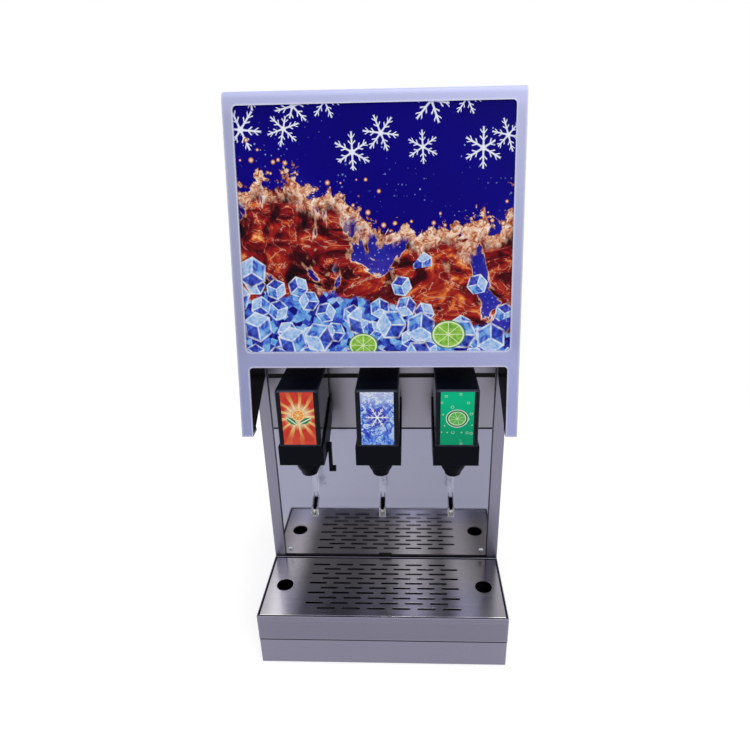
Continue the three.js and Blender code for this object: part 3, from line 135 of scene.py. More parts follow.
class Graph:
    """Adds nodes to one node tree, feeds their inputs and hands back wires."""

    def __init__(self, tree: bpy.types.NodeTree) -> None:
        """Keeps the tree that the nodes go into."""
        self.tree = tree

    def add(self, kind: str, inputs: dict | None = None, **settings: object) -> bpy.types.Node:
        """Adds one node.

        Args:
            kind: The node's type without its ShaderNode prefix.
            inputs: What feeds each input, by the input's name or number.
            settings: The node's own properties.

        Returns:
            The node.
        """
        node = self.tree.nodes.new("ShaderNode" + kind)
        for name, value in settings.items():
            setattr(node, name, value)
        for name, value in (inputs or {}).items():
            self.feed(node.inputs[name], value)
        return node

    def feed(self, socket: bpy.types.NodeSocket, value: Feed) -> None:
        """Links a wire to an input, or sets the input's own value.

        Args:
            socket: The input.
            value: A wire, a number, a vector or a colour.
        """
        if isinstance(value, Wire):
            self.tree.links.new(value.socket, socket)
        elif socket.type == "RGBA":
            socket.default_value = (*value, 1.0)
        else:
            socket.default_value = value

    def out(self, node: bpy.types.Node, name: str | int = 0) -> Wire:
        """The named output of a node as a wire."""
        return Wire(self, node.outputs[name])

    def math(self, operation: str, *operands: Feed) -> Wire:
        """One step of arithmetic on numbers."""
        return self.out(self.add("Math", dict(enumerate(operands)), operation=operation))

    def vector(self, operation: str, *operands: Feed, result: str = "Vector") -> Wire:
        """One step of arithmetic on vectors."""
        return self.out(self.add("VectorMath", dict(enumerate(operands)), operation=operation), result)

    def place(self) -> Wire:
        """The point's place in the frame, in metres."""
        return self.out(self.add("TexCoord"), "Object")

    def facing(self) -> Wire:
        """The way the surface faces at the point."""
        return self.out(self.add("NewGeometry"), "Normal")

    def joined(self, x: Feed, y: Feed, z: Feed = 0.0) -> Wire:
        """A vector or a colour from its three numbers."""
        return self.out(self.add("CombineXYZ", {0: x, 1: y, 2: z}))

    def length(self, vector: Feed) -> Wire:
        """How long a vector is."""
        return self.vector("LENGTH", vector, result="Value")

    def scaled(self, vector: Feed, scale: Feed) -> Wire:
        """A vector times a number."""
        return self.out(self.add("VectorMath", {0: vector, "Scale": scale}, operation="SCALE"))

    def parts(self, vector: Feed) -> tuple[Wire, Wire, Wire]:
        """The X, Y and Z of a vector."""
        node = self.add("SeparateXYZ", {0: vector})
        return self.out(node, 0), self.out(node, 1), self.out(node, 2)

    def mapped(self, vector: Feed, scale: Sequence[float] = (1, 1, 1), location: Sequence[float] = (0, 0, 0),
               turn: Sequence[float] = (0, 0, 0)) -> Wire:
        """A vector scaled, then turned, then moved."""
        return self.out(self.add("Mapping", {"Vector": vector, "Scale": scale, "Location": location,
                                             "Rotation": turn}))

    def noise(self, vector: Feed, scale: Feed, detail: float = 3.0, rough: float = 0.5,
              bend: float = 0.0) -> Wire:
        """Soft noise from 0 to 1, with a middle near a half."""
        return self.out(self.add("TexNoise", {"Vector": vector, "Scale": scale, "Detail": detail,
                                              "Roughness": rough, "Distortion": bend}), 0)

    def cells(self, vector: Feed, scale: Feed, result: str = "Distance", **settings: object) -> Wire:
        """A value of the cells round scattered points."""
        return self.out(self.add("TexVoronoi", {"Vector": vector, "Scale": scale}, **settings), result)

    def either(self, *values: Feed) -> Wire:
        """The largest of several numbers.

        Args:
            values: The numbers, at least one.

        Returns:
            The largest.
        """
        first, *rest = values
        for value in rest:
            first = self.math("MAXIMUM", first, value)
        return first

    def size(self, value: Feed) -> Wire:
        """A number without its sign."""
        return self.math("ABSOLUTE", value)

    def step(self, value: Feed, low: float, high: float, start: float = 0.0, end: float = 1.0) -> Wire:
        """A smooth step from start to end while the value goes from low to high."""
        return self.out(self.add("MapRange", {0: value, 1: low, 2: high, 3: start, 4: end},
                                 interpolation_type="SMOOTHSTEP"))

    def fall(self, value: Feed, low: float, high: float) -> Wire:
        """A smooth step from one down to zero while the value goes from low to high."""
        return self.step(value, low, high, 1.0, 0.0)

    def mix(self, share: Feed, first: Feed, second: Feed) -> Wire:
        """Two colours mixed by a share of the second."""
        return self.out(self.add("Mix", {0: share, 6: first, 7: second}, data_type="RGBA"), 2)

    def ramp(self, share: Feed, stops: Sequence[tuple[float, Colour]], blend: str = "LINEAR") -> Wire:
        """A colour from a row of stops.

        Args:
            share: Where along the row, 0 to 1.
            stops: Place and colour of each stop, in rising order.
            blend: How the colours run into each other.

        Returns:
            The colour.
        """
        node = self.add("ValToRGB", {0: share})
        node.color_ramp.interpolation = blend
        elements = node.color_ramp.elements
        while len(elements) < len(stops):
            elements.new(0.5)
        for element, (place, colour) in zip(elements, stops):
            element.position, element.color = place, (*colour, 1.0)
        return self.out(node, 0)

    def bump(self, height: Feed, depth: float, strength: float) -> Wire:
        """A normal from a height of 0 to 1 that stands for a depth in metres."""
        return self.out(self.add("Bump", {"Height": height, "Distance": depth, "Strength": strength}))


def blank(owner: bpy.types.Material | bpy.types.World) -> Graph:
    """Empties a material's or a world's node tree.

    Args:
        owner: The material or the world.

    Returns:
        A graph that adds to its tree.
    """
    owner.use_nodes = True
    owner.node_tree.nodes.clear()
    return Graph(owner.node_tree)


# Shared effects


@dataclass(frozen=True)
class Effect:
    """A shader node group that several finishes share, built when it is first placed."""

    name: str
    inputs: tuple[tuple[str, str], ...]
    outputs: tuple[tuple[str, str], ...]
    fill: Callable[[Graph, dict[str, Wire]], dict[str, Wire]]

    def build(self) -> bpy.types.NodeTree:
        """Makes the group with its named sockets.

        Returns:
            The group's tree.
        """
        tree = bpy.data.node_groups.new(self.name, "ShaderNodeTree")
        for way, sockets in (("INPUT", self.inputs), ("OUTPUT", self.outputs)):
            for name, kind in sockets:
                tree.interface.new_socket(name=name, in_out=way, socket_type="NodeSocket" + kind)
        graph = Graph(tree)
        entry = tree.nodes.new("NodeGroupInput")
        result = self.fill(graph, {name: graph.out(entry, name) for name, _ in self.inputs})
        leave = tree.nodes.new("NodeGroupOutput")
        for name, value in result.items():
            graph.feed(leave.inputs[name], value)
        return tree

    def on(self, graph: Graph, **feeds: Feed) -> dict[str, Wire]:
        """Places the group in a material's graph.

        Args:
            graph: The material's graph.
            feeds: What feeds each input of the group.

        Returns:
            The group's outputs by name.
        """
        node = graph.tree.nodes.new("ShaderNodeGroup")
        node.node_tree = bpy.data.node_groups.get(self.name) or self.build()
        for name, value in feeds.items():
            graph.feed(node.inputs[name], value)
        return {name: graph.out(node, name) for name, _ in self.outputs}


def fill_grain(g: Graph, given: dict[str, Wire]) -> dict[str, Wire]:
    """Brush lines: fine noise and broader noise on a vector that is already stretched along the grain.

    Args:
        g: The group's graph.
        given: The group's inputs by name.

    Returns:
        The group's outputs by name.
    """
    fine = g.noise(given["Vector"], 1.0, 4.0, 0.65)
    broad = g.noise(given["Vector"], 0.11, 3.0, 0.6)
    return {"Streak": fine * 0.6 + broad * 0.4, "Broad": broad}


def fill_smear(g: Graph, given: dict[str, Wire]) -> dict[str, Wire]:
    """Wiping marks and haze: two sizes of warped noise, one squeezed across the other.

    Args:
        g: The group's graph.
        given: The group's inputs by name.

    Returns:
        The group's outputs by name.
    """
    cloud = g.noise(given["Vector"], given["Scale"], 4.0, 0.55, 0.6)
    squeezed = g.mapped(given["Vector"], (1.0, 1.0, 2.6), turn=(0.3, 0.5, 0.4))
    wipe = g.noise(squeezed, given["Scale"] * 3.1, 5.0, 0.7, 1.4)
    return {"Haze": cloud * 0.65 + wipe * 0.35}


def fill_pebble(g: Graph, given: dict[str, Wire]) -> dict[str, Wire]:
    """Moulded grain: rounded cell tops over soft noise, as spark-etched tooling leaves.

    Args:
        g: The group's graph.
        given: The group's inputs by name.

    Returns:
        The group's outputs by name.
    """
    cell = g.cells(given["Vector"], given["Scale"], feature="SMOOTH_F1")
    soft = g.noise(given["Vector"], given["Scale"], 2.0)
    return {"Height": g.fall(cell, 0.1, 0.75) * 0.7 + soft * 0.3}


def fill_wear(g: Graph, given: dict[str, Wire]) -> dict[str, Wire]:
    """Rubbed edges that also carry painted highlights: how far a widely rounded normal leaves the true one,
    broken up by noise.

    Args:
        g: The group's graph.
        given: The group's inputs by name.

    Returns:
        The group's outputs by name.
    """
    rounded = g.out(g.add("Bevel", {"Radius": given["Width"]}, samples=4))
    true = g.facing()
    away = 1.0 - g.vector("DOT_PRODUCT", rounded, true, result="Value")
    patch = g.noise(given["Vector"], 160.0, 4.0, 0.7)
    return {"Mask": g.step(away * (patch * 1.6), 0.02, 0.16)}


def fill_dust(g: Graph, given: dict[str, Wire]) -> dict[str, Wire]:
    """Settled dust: only where the face looks up, in soft patches with a fine sprinkle.

    Args:
        g: The group's graph.
        given: The group's inputs by name.

    Returns:
        The group's outputs by name.
    """
    up = g.parts(g.facing())[2]
    patch = g.noise(given["Vector"], 14.0, 4.0, 0.6)
    fleck = g.noise(given["Vector"], 900.0, 2.0, 0.8)
    return {"Mask": g.step(up, 0.5, 0.95) * g.step(patch, 0.42, 0.7) * g.step(fleck, 0.35, 0.65, 0.4, 1.0)}


def fill_scatter(g: Graph, given: dict[str, Wire]) -> dict[str, Wire]:
    """Scattered motifs: the place in a cell, one cell wide and turned by chance, its height and two chances.

    Args:
        g: The group's graph.
        given: The group's inputs by name.

    Returns:
        The group's outputs by name.
    """
    sockets = {"Vector": given["Vector"], "Scale": given["Scale"], "Randomness": given["Loose"]}
    node = g.add("TexVoronoi", sockets, voronoi_dimensions="2D")
    turn, first, second = g.parts(g.out(node, "Color"))
    away = g.vector("SUBTRACT", given["Vector"], g.out(node, "Position"))
    wide = g.scaled(away, given["Scale"])
    local = g.add("VectorRotate", {"Vector": wide, "Angle": turn * 6.28}, rotation_type="Z_AXIS")
    rise = g.parts(g.out(node, "Position"))[1]
    return {"Local": g.out(local), "Chance": first, "Other": second, "Rise": rise}


def fill_cube(g: Graph, given: dict[str, Wire]) -> dict[str, Wire]:
    """An ice cube seen corner on: a hexagon whose three faces are split by which way the point lies.

    Args:
        g: The group's graph.
        given: The group's inputs by name.

    Returns:
        The group's outputs by name.
    """
    p, q, _ = g.parts(given["Local"])
    rim = g.either(g.size(p), g.size(p) * 0.5 + g.size(q) * 0.866) / given["Size"]
    left, right = q * -0.5 - p * 0.866, p * 0.866 - q * 0.5
    most = g.either(q, left, right)
    least = g.math("MINIMUM", g.math("MINIMUM", q, left), right)
    inner = g.fall((most * 2.0 + least) / given["Size"], 0.03, 0.16)
    top = g.step(q - g.either(left, right), -0.01, 0.01)
    side = g.step(right - left, -0.01, 0.01, 0.18, 0.5)
    return {"Mask": g.fall(rim, 0.93, 1.0), "Tone": side + top * (0.84 - side),
            "Edge": g.either(inner, g.step(rim, 0.78, 0.92))}


def fill_crystal(g: Graph, given: dict[str, Wire]) -> dict[str, Wire]:
    """A snow crystal: six arms where the sine of three times the angle is small, with slanting barbs.

    Args:
        g: The group's graph.
        given: The group's inputs by name.

    Returns:
        The group's outputs by name.
    """
    x, y, _ = g.parts(given["Local"])
    radius = g.length(given["Local"])
    off = g.size(g.math("SINE", g.math("ARCTAN2", y, x) * 3.0)) * radius
    arm = g.fall(off, 0.035, 0.07)
    barb = g.fall(g.math("FRACT", (radius - off * 0.5) * 8.0), 0.2, 0.3) * g.fall(off, 0.18, 0.22)
    return {"Mask": g.either(arm, barb) * g.fall(radius, 0.4, 0.43)}


def fill_slice(g: Graph, given: dict[str, Wire]) -> dict[str, Wire]:
    """A cut fruit slice of radius one: rind, pith and flesh by radius, and eight pale walls by angle.

    Args:
        g: The group's graph.
        given: The group's inputs by name.

    Returns:
        The group's outputs by name.
    """
    x, y, _ = g.parts(given["Vector"])
    radius = g.length(given["Vector"])
    wall = g.size(g.math("SINE", g.math("ARCTAN2", y, x) * 4.0)) * radius
    flesh = g.step(wall, 0.05, 0.13) * g.fall(radius, 0.78, 0.84)
    return {"Disc": g.fall(radius, 0.97, 1.0), "Flesh": flesh, "Rind": g.step(radius, 0.9, 0.94)}


VECTOR, NUMBER = "Vector", "Float"
GRAIN = Effect("brush_grain", (("Vector", VECTOR),), (("Streak", NUMBER), ("Broad", NUMBER)), fill_grain)
SMEAR = Effect("wiping_haze", (("Vector", VECTOR), ("Scale", NUMBER)), (("Haze", NUMBER),), fill_smear)
PEBBLE = Effect("moulded_pebble", (("Vector", VECTOR), ("Scale", NUMBER)), (("Height", NUMBER),), fill_pebble)
# Painted highlight: this edge mask brightens edges to stand in for light caught on them, as well as for
# rubbing.
WEAR_AND_HIGHLIGHT = Effect("edge_wear", (("Vector", VECTOR), ("Width", NUMBER)), (("Mask", NUMBER),), fill_wear)
DUST = Effect("settled_dust", (("Vector", VECTOR),), (("Mask", NUMBER),), fill_dust)
SCATTER = Effect("scattered_motifs", (("Vector", VECTOR), ("Scale", NUMBER), ("Loose", NUMBER)),
                 (("Local", VECTOR), ("Chance", NUMBER), ("Other", NUMBER), ("Rise", NUMBER)), fill_scatter)
CUBE = Effect("ice_cube", (("Local", VECTOR), ("Size", NUMBER)),
              (("Mask", NUMBER), ("Tone", NUMBER), ("Edge", NUMBER)), fill_cube)
CRYSTAL = Effect("snow_crystal", (("Local", VECTOR),), (("Mask", NUMBER),), fill_crystal)
SLICE = Effect("fruit_slice", (("Vector", VECTOR),),
               (("Disc", NUMBER), ("Flesh", NUMBER), ("Rind", NUMBER)), fill_slice)


# Finishes


class Grain(Enum):
    """The way the brush went: the stretch of its lines, and the direction that is rough to a reflection."""

    ALONG_X = ((0.006, 1.0, 1.0), (0.0, 1.0, 1.0))
    ALONG_Z = ((1.0, 1.0, 0.006), (1.0, 1.0, 0.0))

    @property
    def stretch(self) -> Colour:
        """How far the brush lines are squeezed along X, Y and Z."""
        return self.value[0]

    @property
    def across(self) -> Colour:
        """The direction across the lines."""
        return self.value[1]


@dataclass(frozen=True)
class Finish:
    """A surface: a material that is made on first use, and the record's slot that it stands for."""

    name: str
    slot: str

    def draw(self, g: Graph) -> dict[str, Feed]:
        """What feeds each input of the shader; every kind of finish has its own."""
        raise NotImplementedError

    def material(self) -> bpy.types.Material:
        """Makes the material, or finds the one made before.

        Returns:
            The material.
        """
        made = bpy.data.materials.get("look_" + self.name)
        if made is None:
            made = bpy.data.materials.new("look_" + self.name)
            graph = blank(made)
            shader = graph.add("BsdfPrincipled", self.draw(graph))
            graph.add("OutputMaterial", {"Surface": graph.out(shader)})
        return made


@dataclass(frozen=True)
class BrushedSteel(Finish):
    """Sheet metal brushed one way, with wiping haze and pale edges that are partly rubbing and partly painted
    highlight.

    Joints are heights and half heights between which painted shade darkens the sheet. Painted shade also
    darkens it below the shade level and outside the side distance, and a painted highlight brightens it in
    front of the lip, where these are given. Where stripes are given, they are painted reflections across the
    sheet.
    """

    colour: Colour = ink(146, 141, 151)
    grain: Grain = Grain.ALONG_X
    roughness: float = 0.3
    contrast: float = 0.16
    lines: float = 1400.0
    one_way: float = 0.55
    haze: float = 0.1
    # Share and width of pale edges that are partly rubbing and partly painted highlight.
    wear: float = 0.35
    uneven: float = 1.0
    # Painted reflection: light and dark stripes across the sheet.
    bands: tuple[tuple[float, float], ...] = ()
    rub: float = 1.2 * MM
    # Painted shade: heights and half heights of the joints where the sheet is drawn dark, and the tone drawn
    # there.
    joints: tuple[tuple[float, float], ...] = ()
    joint_shade_tone: float = 0.16
    # Painted shade: the sheet is drawn dark below this height, at this tone.
    shade: float = -1.0
    shade_tone: float = 0.07
    # Painted shade: the sheet is drawn dark outside this half width.
    side: float = -1.0
    # Painted highlight: the sheet is drawn bright in front of this depth, by this tone.
    lip: float = 1.0
    lip_highlight_tone: float = 1.6

    def draw(self, g: Graph) -> dict[str, Feed]:
        """Brush lines in colour, roughness and bump; haze in colour and roughness; pale edges that are partly
        rubbing and partly painted highlight; painted shade, painted highlight and painted reflection where
        the fields give them.

        Args:
            g: The material's graph.

        Returns:
            What feeds each input of the shader, by name.
        """
        place = g.place()
        x, y, z = g.parts(place)
        grain = GRAIN.on(g, Vector=g.mapped(place, tuple(share * self.lines for share in self.grain.stretch)))
        haze = SMEAR.on(g, Vector=place, Scale=11.0)["Haze"]
        worn_and_lit = WEAR_AND_HIGHLIGHT.on(g, Vector=place, Width=self.rub)["Mask"]
        tone = 1.0 + (grain["Streak"] - 0.5) * self.contrast * 2.0 + (haze - 0.5) * self.haze
        # Painted reflection stripes across the sheet.
        if self.bands:
            tone = tone * self.painted_reflection_bands(g, x, haze)
        # Painted shade at the joints; the pale edges stop short of them.
        for level, half in self.joints:
            off = g.size(z - level)
            tone = tone * g.step(off, half, half + 0.6 * MM, self.joint_shade_tone, 1.0)
            worn_and_lit = worn_and_lit * g.step(off, half + 0.5 * MM, half + 0.7 * MM)
        # Painted shade below the shade level, and a painted highlight in front of the lip.
        if self.shade > 0:
            lit = g.step(z, self.shade - 0.06 * MM, self.shade)
            tone = tone + g.fall(y, self.lip, self.lip + 0.4 * MM) * self.lip_highlight_tone
            tone, worn_and_lit = tone * (lit * (1 - self.shade_tone) + self.shade_tone), worn_and_lit * lit
        # Painted shade along the sheet's sides.
        if self.side > 0:
            tone = tone * g.step(g.size(x), self.side - 1.2 * MM, self.side - 0.7 * MM, 1.0, self.joint_shade_tone)
        colour = g.scaled(self.sheen(g, place), tone)
        # Pale edge colour: partly rubbing, partly painted highlight.
        bright = tuple(min(share, 0.95) for share in toned(self.colour, 1.45))
        drift = ((grain["Broad"] - 0.5) * 0.16 + (haze - 0.5) * 0.14) * self.uneven
        return {
            "Base Color": g.mix(worn_and_lit * self.wear, colour, bright),
            "Metallic": 1.0,
            "Roughness": self.dulled(g, place, drift + self.roughness),
            "Normal": g.bump(grain["Streak"], 0.05 * MM, 0.35),
            "Anisotropic": self.one_way,
            "Tangent": g.joined(*self.grain.across),
        }

    def sheen(self, g: Graph, place: Wire) -> Feed:
        """The metal's own colour; a finish that paints reflection or shade into its colour changes it here.
        """
        return self.colour

    def dulled(self, g: Graph, place: Wire, roughness: Wire) -> Wire:
        """The roughness as it is; a finish that is duller in some places changes it here."""
        return roughness

    def painted_reflection_bands(self, g: Graph, x: Wire, haze: Wire) -> Wire:
        """Painted reflection: soft light and dark stripes across the sheet that stand in for the dark valves
        and lighter things it mirrors, with tones up to 3.
        """
        stops = [(share, (tone / 3,) * 3) for share, tone in self.bands]
        return g.parts(g.ramp(x * 2.5 + haze * 0.06 + 0.47, stops, "EASE"))[0] * 3.0


@dataclass(frozen=True)
class MirrorSteel(BrushedSteel):
    """Polished sheet whose colour is a painted reflection: plain grey at its foot, where it mirrors the tray,
    and cooler above; it is a little duller above, where its film still is.
    """

    # Painted reflection: the colour at the foot, and the heights over which it runs into the cooler colour
    # above.
    foot: Colour = ink(168, 165, 168)
    heights: tuple[float, float] = (150 * MM, 196 * MM)

    def sheen(self, g: Graph, place: Wire) -> Feed:
        """A painted reflection: the foot's colour running into the sheet's own colour with height, and
        painted shade that makes it darker to the right.

        Args:
            g: The material's graph.
            place: The point's place.

        Returns:
            The colour.
        """
        x, _, z = g.parts(place)
        # Painted shade: darker to the right.
        fall = g.step(x, -150 * MM, 150 * MM, 1.0, 0.86)
        shade = g.mix(g.step(z, *self.heights), self.foot, self.colour)
        return g.scaled(shade, fall)

    def dulled(self, g: Graph, place: Wire, roughness: Wire) -> Wire:
        """Bright at its foot and a little dull above, where the film still is."""
        film = self.heights[1] + 4 * MM
        return roughness + g.step(g.parts(place)[2], film, film + 20 * MM) * 0.13


@dataclass(frozen=True)
class ZincSteel(Finish):
    """Galvanised sheet: faint crystal flakes under a dull grey skin."""

    colour: Colour = ink(150, 152, 156)
    flake: float = 90.0
    roughness: float = 0.42

    def draw(self, g: Graph) -> dict[str, Feed]:
        """Cells of slightly different tone and roughness, with haze and dust over them.

        Args:
            g: The material's graph.

        Returns:
            What feeds each input of the shader, by name.
        """
        place = g.place()
        turned_place = g.mapped(place, turn=(0.2, 0.4, 0.1))
        flake = g.parts(g.cells(turned_place, self.flake, "Color"))[0]
        haze = SMEAR.on(g, Vector=place, Scale=9.0)["Haze"]
        dust = DUST.on(g, Vector=place)["Mask"]
        worn_and_lit = WEAR_AND_HIGHLIGHT.on(g, Vector=place, Width=1.0 * MM)["Mask"]
        zinc = g.mix(flake * 0.5 + haze * 0.5, toned(self.colour, 0.82), toned(self.colour, 1.16))
        return {
            "Base Color": g.mix(dust * 0.3, g.mix(worn_and_lit * 0.4, zinc, ink(200, 202, 206)), ink(168, 160, 148)),
            "Metallic": 1.0 - dust * 0.5,
            "Roughness": flake * 0.12 + haze * 0.1 + dust * 0.2 + (self.roughness - 0.1),
            "Normal": g.bump(flake * 0.4 + haze, 0.04 * MM, 0.4),
        }


@dataclass(frozen=True)
class Coating(Finish):
    """Paint, powder coat or moulded plastic: a colour over a fine texture, with haze and pale edges that are
    partly rubbing and partly painted highlight.
    """

    colour: Colour = ink(170, 172, 205)
    # Pale edge colour, partly rubbing and partly painted highlight.
    worn_and_highlight_colour: Colour = ink(200, 200, 225)
    roughness: float = 0.4
    texture: float = 900.0
    depth: float = 0.05 * MM
    mottle: float = 0.06
    wear: float = 0.4
    dust: float = 0.0
    gloss: float = 0.5
    coat: float = 0.0
    rub: float = 1.2 * MM

    def with_painted_light(self, g: Graph, place: Wire, colour: Wire) -> Wire:
        """The colour as it is; finishes that paint light and shade into their colour change it here."""
        return colour

    def draw(self, g: Graph) -> dict[str, Feed]:
        """Fine pebbles in the bump, mottled tone, pale edges that are partly rubbing and partly painted
        highlight, and dust on what faces up.

        Args:
            g: The material's graph.

        Returns:
            What feeds each input of the shader, by name.
        """
        place = g.place()
        height = PEBBLE.on(g, Vector=place, Scale=self.texture)["Height"]
        haze = SMEAR.on(g, Vector=place, Scale=13.0)["Haze"]
        worn_and_lit = WEAR_AND_HIGHLIGHT.on(g, Vector=place, Width=self.rub)["Mask"]
        dusty = DUST.on(g, Vector=place)["Mask"] * self.dust
        paint = g.mix(haze, toned(self.colour, 1 - self.mottle), toned(self.colour, 1 + self.mottle))
        colour = g.mix(worn_and_lit * self.wear, self.with_painted_light(g, place, paint), self.worn_and_highlight_colour)
        return {
            "Base Color": g.mix(dusty, colour, ink(150, 143, 132)),
            "Roughness": (haze - 0.5) * 0.16 + height * 0.06 + dusty * 0.3 + (self.roughness - 0.03),
            "Specular IOR Level": self.gloss,
            "Coat Weight": self.coat,
            "Coat Roughness": 0.08,
            "Normal": g.bump(height, self.depth, 0.6),
        }


@dataclass(frozen=True)
class SatinPaint(Coating):
    """Metallic satin paint: fine flakes, with painted light and shade: lighter with height and to the right,
    a painted highlight on its top roll, darker stiles and a bluer tint low down.
    """

    # Painted light and shade: a tone that rises with height and to the right, darker stiles, a painted
    # highlight on the top roll and a bluer tint low down.
    heights: tuple[float, float] = (400 * MM, 860 * MM)
    painted_light_levels: tuple[float, float] = (0.83, 1.22)
    drift: float = 0.2
    wide: float = 400 * MM
    shaded_stile: float = 186 * MM
    shaded_stile_foot: tuple[float, float] = (505 * MM, 540 * MM)
    shaded_stile_head: tuple[float, float] = (825 * MM, 848 * MM)
    crown: tuple[float, float] = (849 * MM, 857 * MM)
    bluer_in_shade: tuple[float, float] = (400 * MM, 720 * MM)

    def with_painted_light(self, g: Graph, place: Wire, colour: Wire) -> Wire:
        """The colour times painted light and shade: the rise with height, the drift to the right, the darker
        stiles, the brighter top roll and the bluer low parts, with a chance tone for each flake.

        Args:
            g: The material's graph.
            place: The point's place.
            colour: The plain paint's colour.

        Returns:
            The colour with its painted light and shade.
        """
        x, _, z = g.parts(place)
        flake = g.parts(g.cells(place, 2600.0, "Color"))[0]
        front = g.fall(g.parts(g.facing())[1], -0.8, -0.5)
        shaded_stile = g.step(g.size(x), self.shaded_stile - 2 * MM, self.shaded_stile + 2 * MM) * front
        shaded_stile = shaded_stile * g.step(z, *self.shaded_stile_foot) * g.fall(z, *self.shaded_stile_head)
        # Painted light with height and to the right, painted shade on the stiles, a painted highlight on the
        # top roll, and a bluer tint in the painted shade low down.
        tone = g.step(z, *self.heights, *self.painted_light_levels) * (1.0 + x / self.wide * self.drift)
        tone = tone * (flake * 0.1 + 0.95) * (1.0 - shaded_stile * 0.16) * g.step(z, *self.crown, 1.0, 1.2)
        blue = tone * g.step(z, *self.bluer_in_shade, 1.14, 1.0)
        return g.vector("MULTIPLY", colour, g.joined(tone, tone, blue))


@dataclass(frozen=True)
class Copper(Finish):
    """Drawn copper tube that has tarnished in patches."""

    def draw(self, g: Graph) -> dict[str, Feed]:
        """Bright copper turning brown where the haze is strong, with a fine grain.

        Args:
            g: The material's graph.

        Returns:
            What feeds each input of the shader, by name.
        """
        place = g.place()
        haze = SMEAR.on(g, Vector=place, Scale=26.0)["Haze"]
        spot = g.noise(place, 420.0, 3.0, 0.7)
        stops = inks((0.3, 214, 138, 98), (0.52, 176, 104, 72), (0.72, 104, 66, 52))
        return {
            "Base Color": g.ramp(haze * 0.8 + spot * 0.2, stops),
            "Metallic": 1.0,
            "Roughness": haze * 0.5 + 0.04,
            "Normal": g.bump(spot, 0.03 * MM, 0.4),
        }


@dataclass(frozen=True)
class ClearPlastic(Finish):
    """Polycarbonate: clear with hair scratches and a faint ripple from the mould."""

    roughness: float = 0.06
    centre: float = 0.0
    knee: tuple[float, float] = (-128.5 * MM, 253 * MM)
    tip: float = -149.5 * MM
    # Half width of the painted dark reflection in the finger rest.
    groove: float = 3.5 * MM

    def draw(self, g: Graph) -> dict[str, Feed]:
        """Plain transmission with scratches and ripple, a painted dark reflection inside the finger rest, and
        frosted at its tip.

        Args:
            g: The material's graph.

        Returns:
            What feeds each input of the shader, by name.
        """
        place = g.place()
        hair = g.noise(g.mapped(place, (1800.0, 1800.0, 40.0)), 1.0, 3.0, 0.6)
        ripple = g.noise(place, 120.0, 2.0)
        tint = g.mix(ripple, (0.93, 0.95, 0.97), (0.99, 0.995, 1.0))
        x, y, z = g.parts(place)
        off = g.size(x - self.centre)
        knee, level = self.knee
        rest = g.fall(y, knee - 0.3 * MM, knee) * g.fall(z, level - 0.4 * MM, level)
        tip = g.fall(y, self.tip - 0.3 * MM, self.tip)
        _, ny, nz = g.parts(g.facing())
        front = g.step(nz * 0.8 - ny * 0.7, 0.3, 0.5)
        # Painted reflection: a dark strip in the finger rest stands in for the dark surroundings seen through
        # the clear plastic.
        painted_dark_reflection = rest * g.fall(off, self.groove, self.groove + 0.5 * MM) * (1.0 - tip) * front
        return {
            "Base Color": g.mix(painted_dark_reflection, tint, (0.003, 0.003, 0.006)),
            "Transmission Weight": 1.0,
            "IOR": 1.49,
            "Roughness": g.step(hair, 0.45, 0.8) * 0.12 + tip * 0.7 + self.roughness,
            "Normal": g.bump(hair * 0.3 + ripple * 0.4, 0.01 * MM, 0.3),
        }


@dataclass(frozen=True)
class Foam(Finish):
    """Sprayed insulation: a cream skin of small blown cells."""

    def draw(self, g: Graph) -> dict[str, Feed]:
        """Two sizes of cell in colour and bump.

        Args:
            g: The material's graph.

        Returns:
            What feeds each input of the shader, by name.
        """
        place = g.place()
        small, large = g.cells(place, 420.0), g.cells(place, 70.0)
        tone = g.mix(small * 0.5 + large * 0.5, ink(232, 214, 170), ink(196, 170, 118))
        return {
            "Base Color": tone,
            "Roughness": large * 0.2 + 0.7,
            "Normal": g.bump(small * 0.4 + large, 1.2 * MM, 0.5),
        }


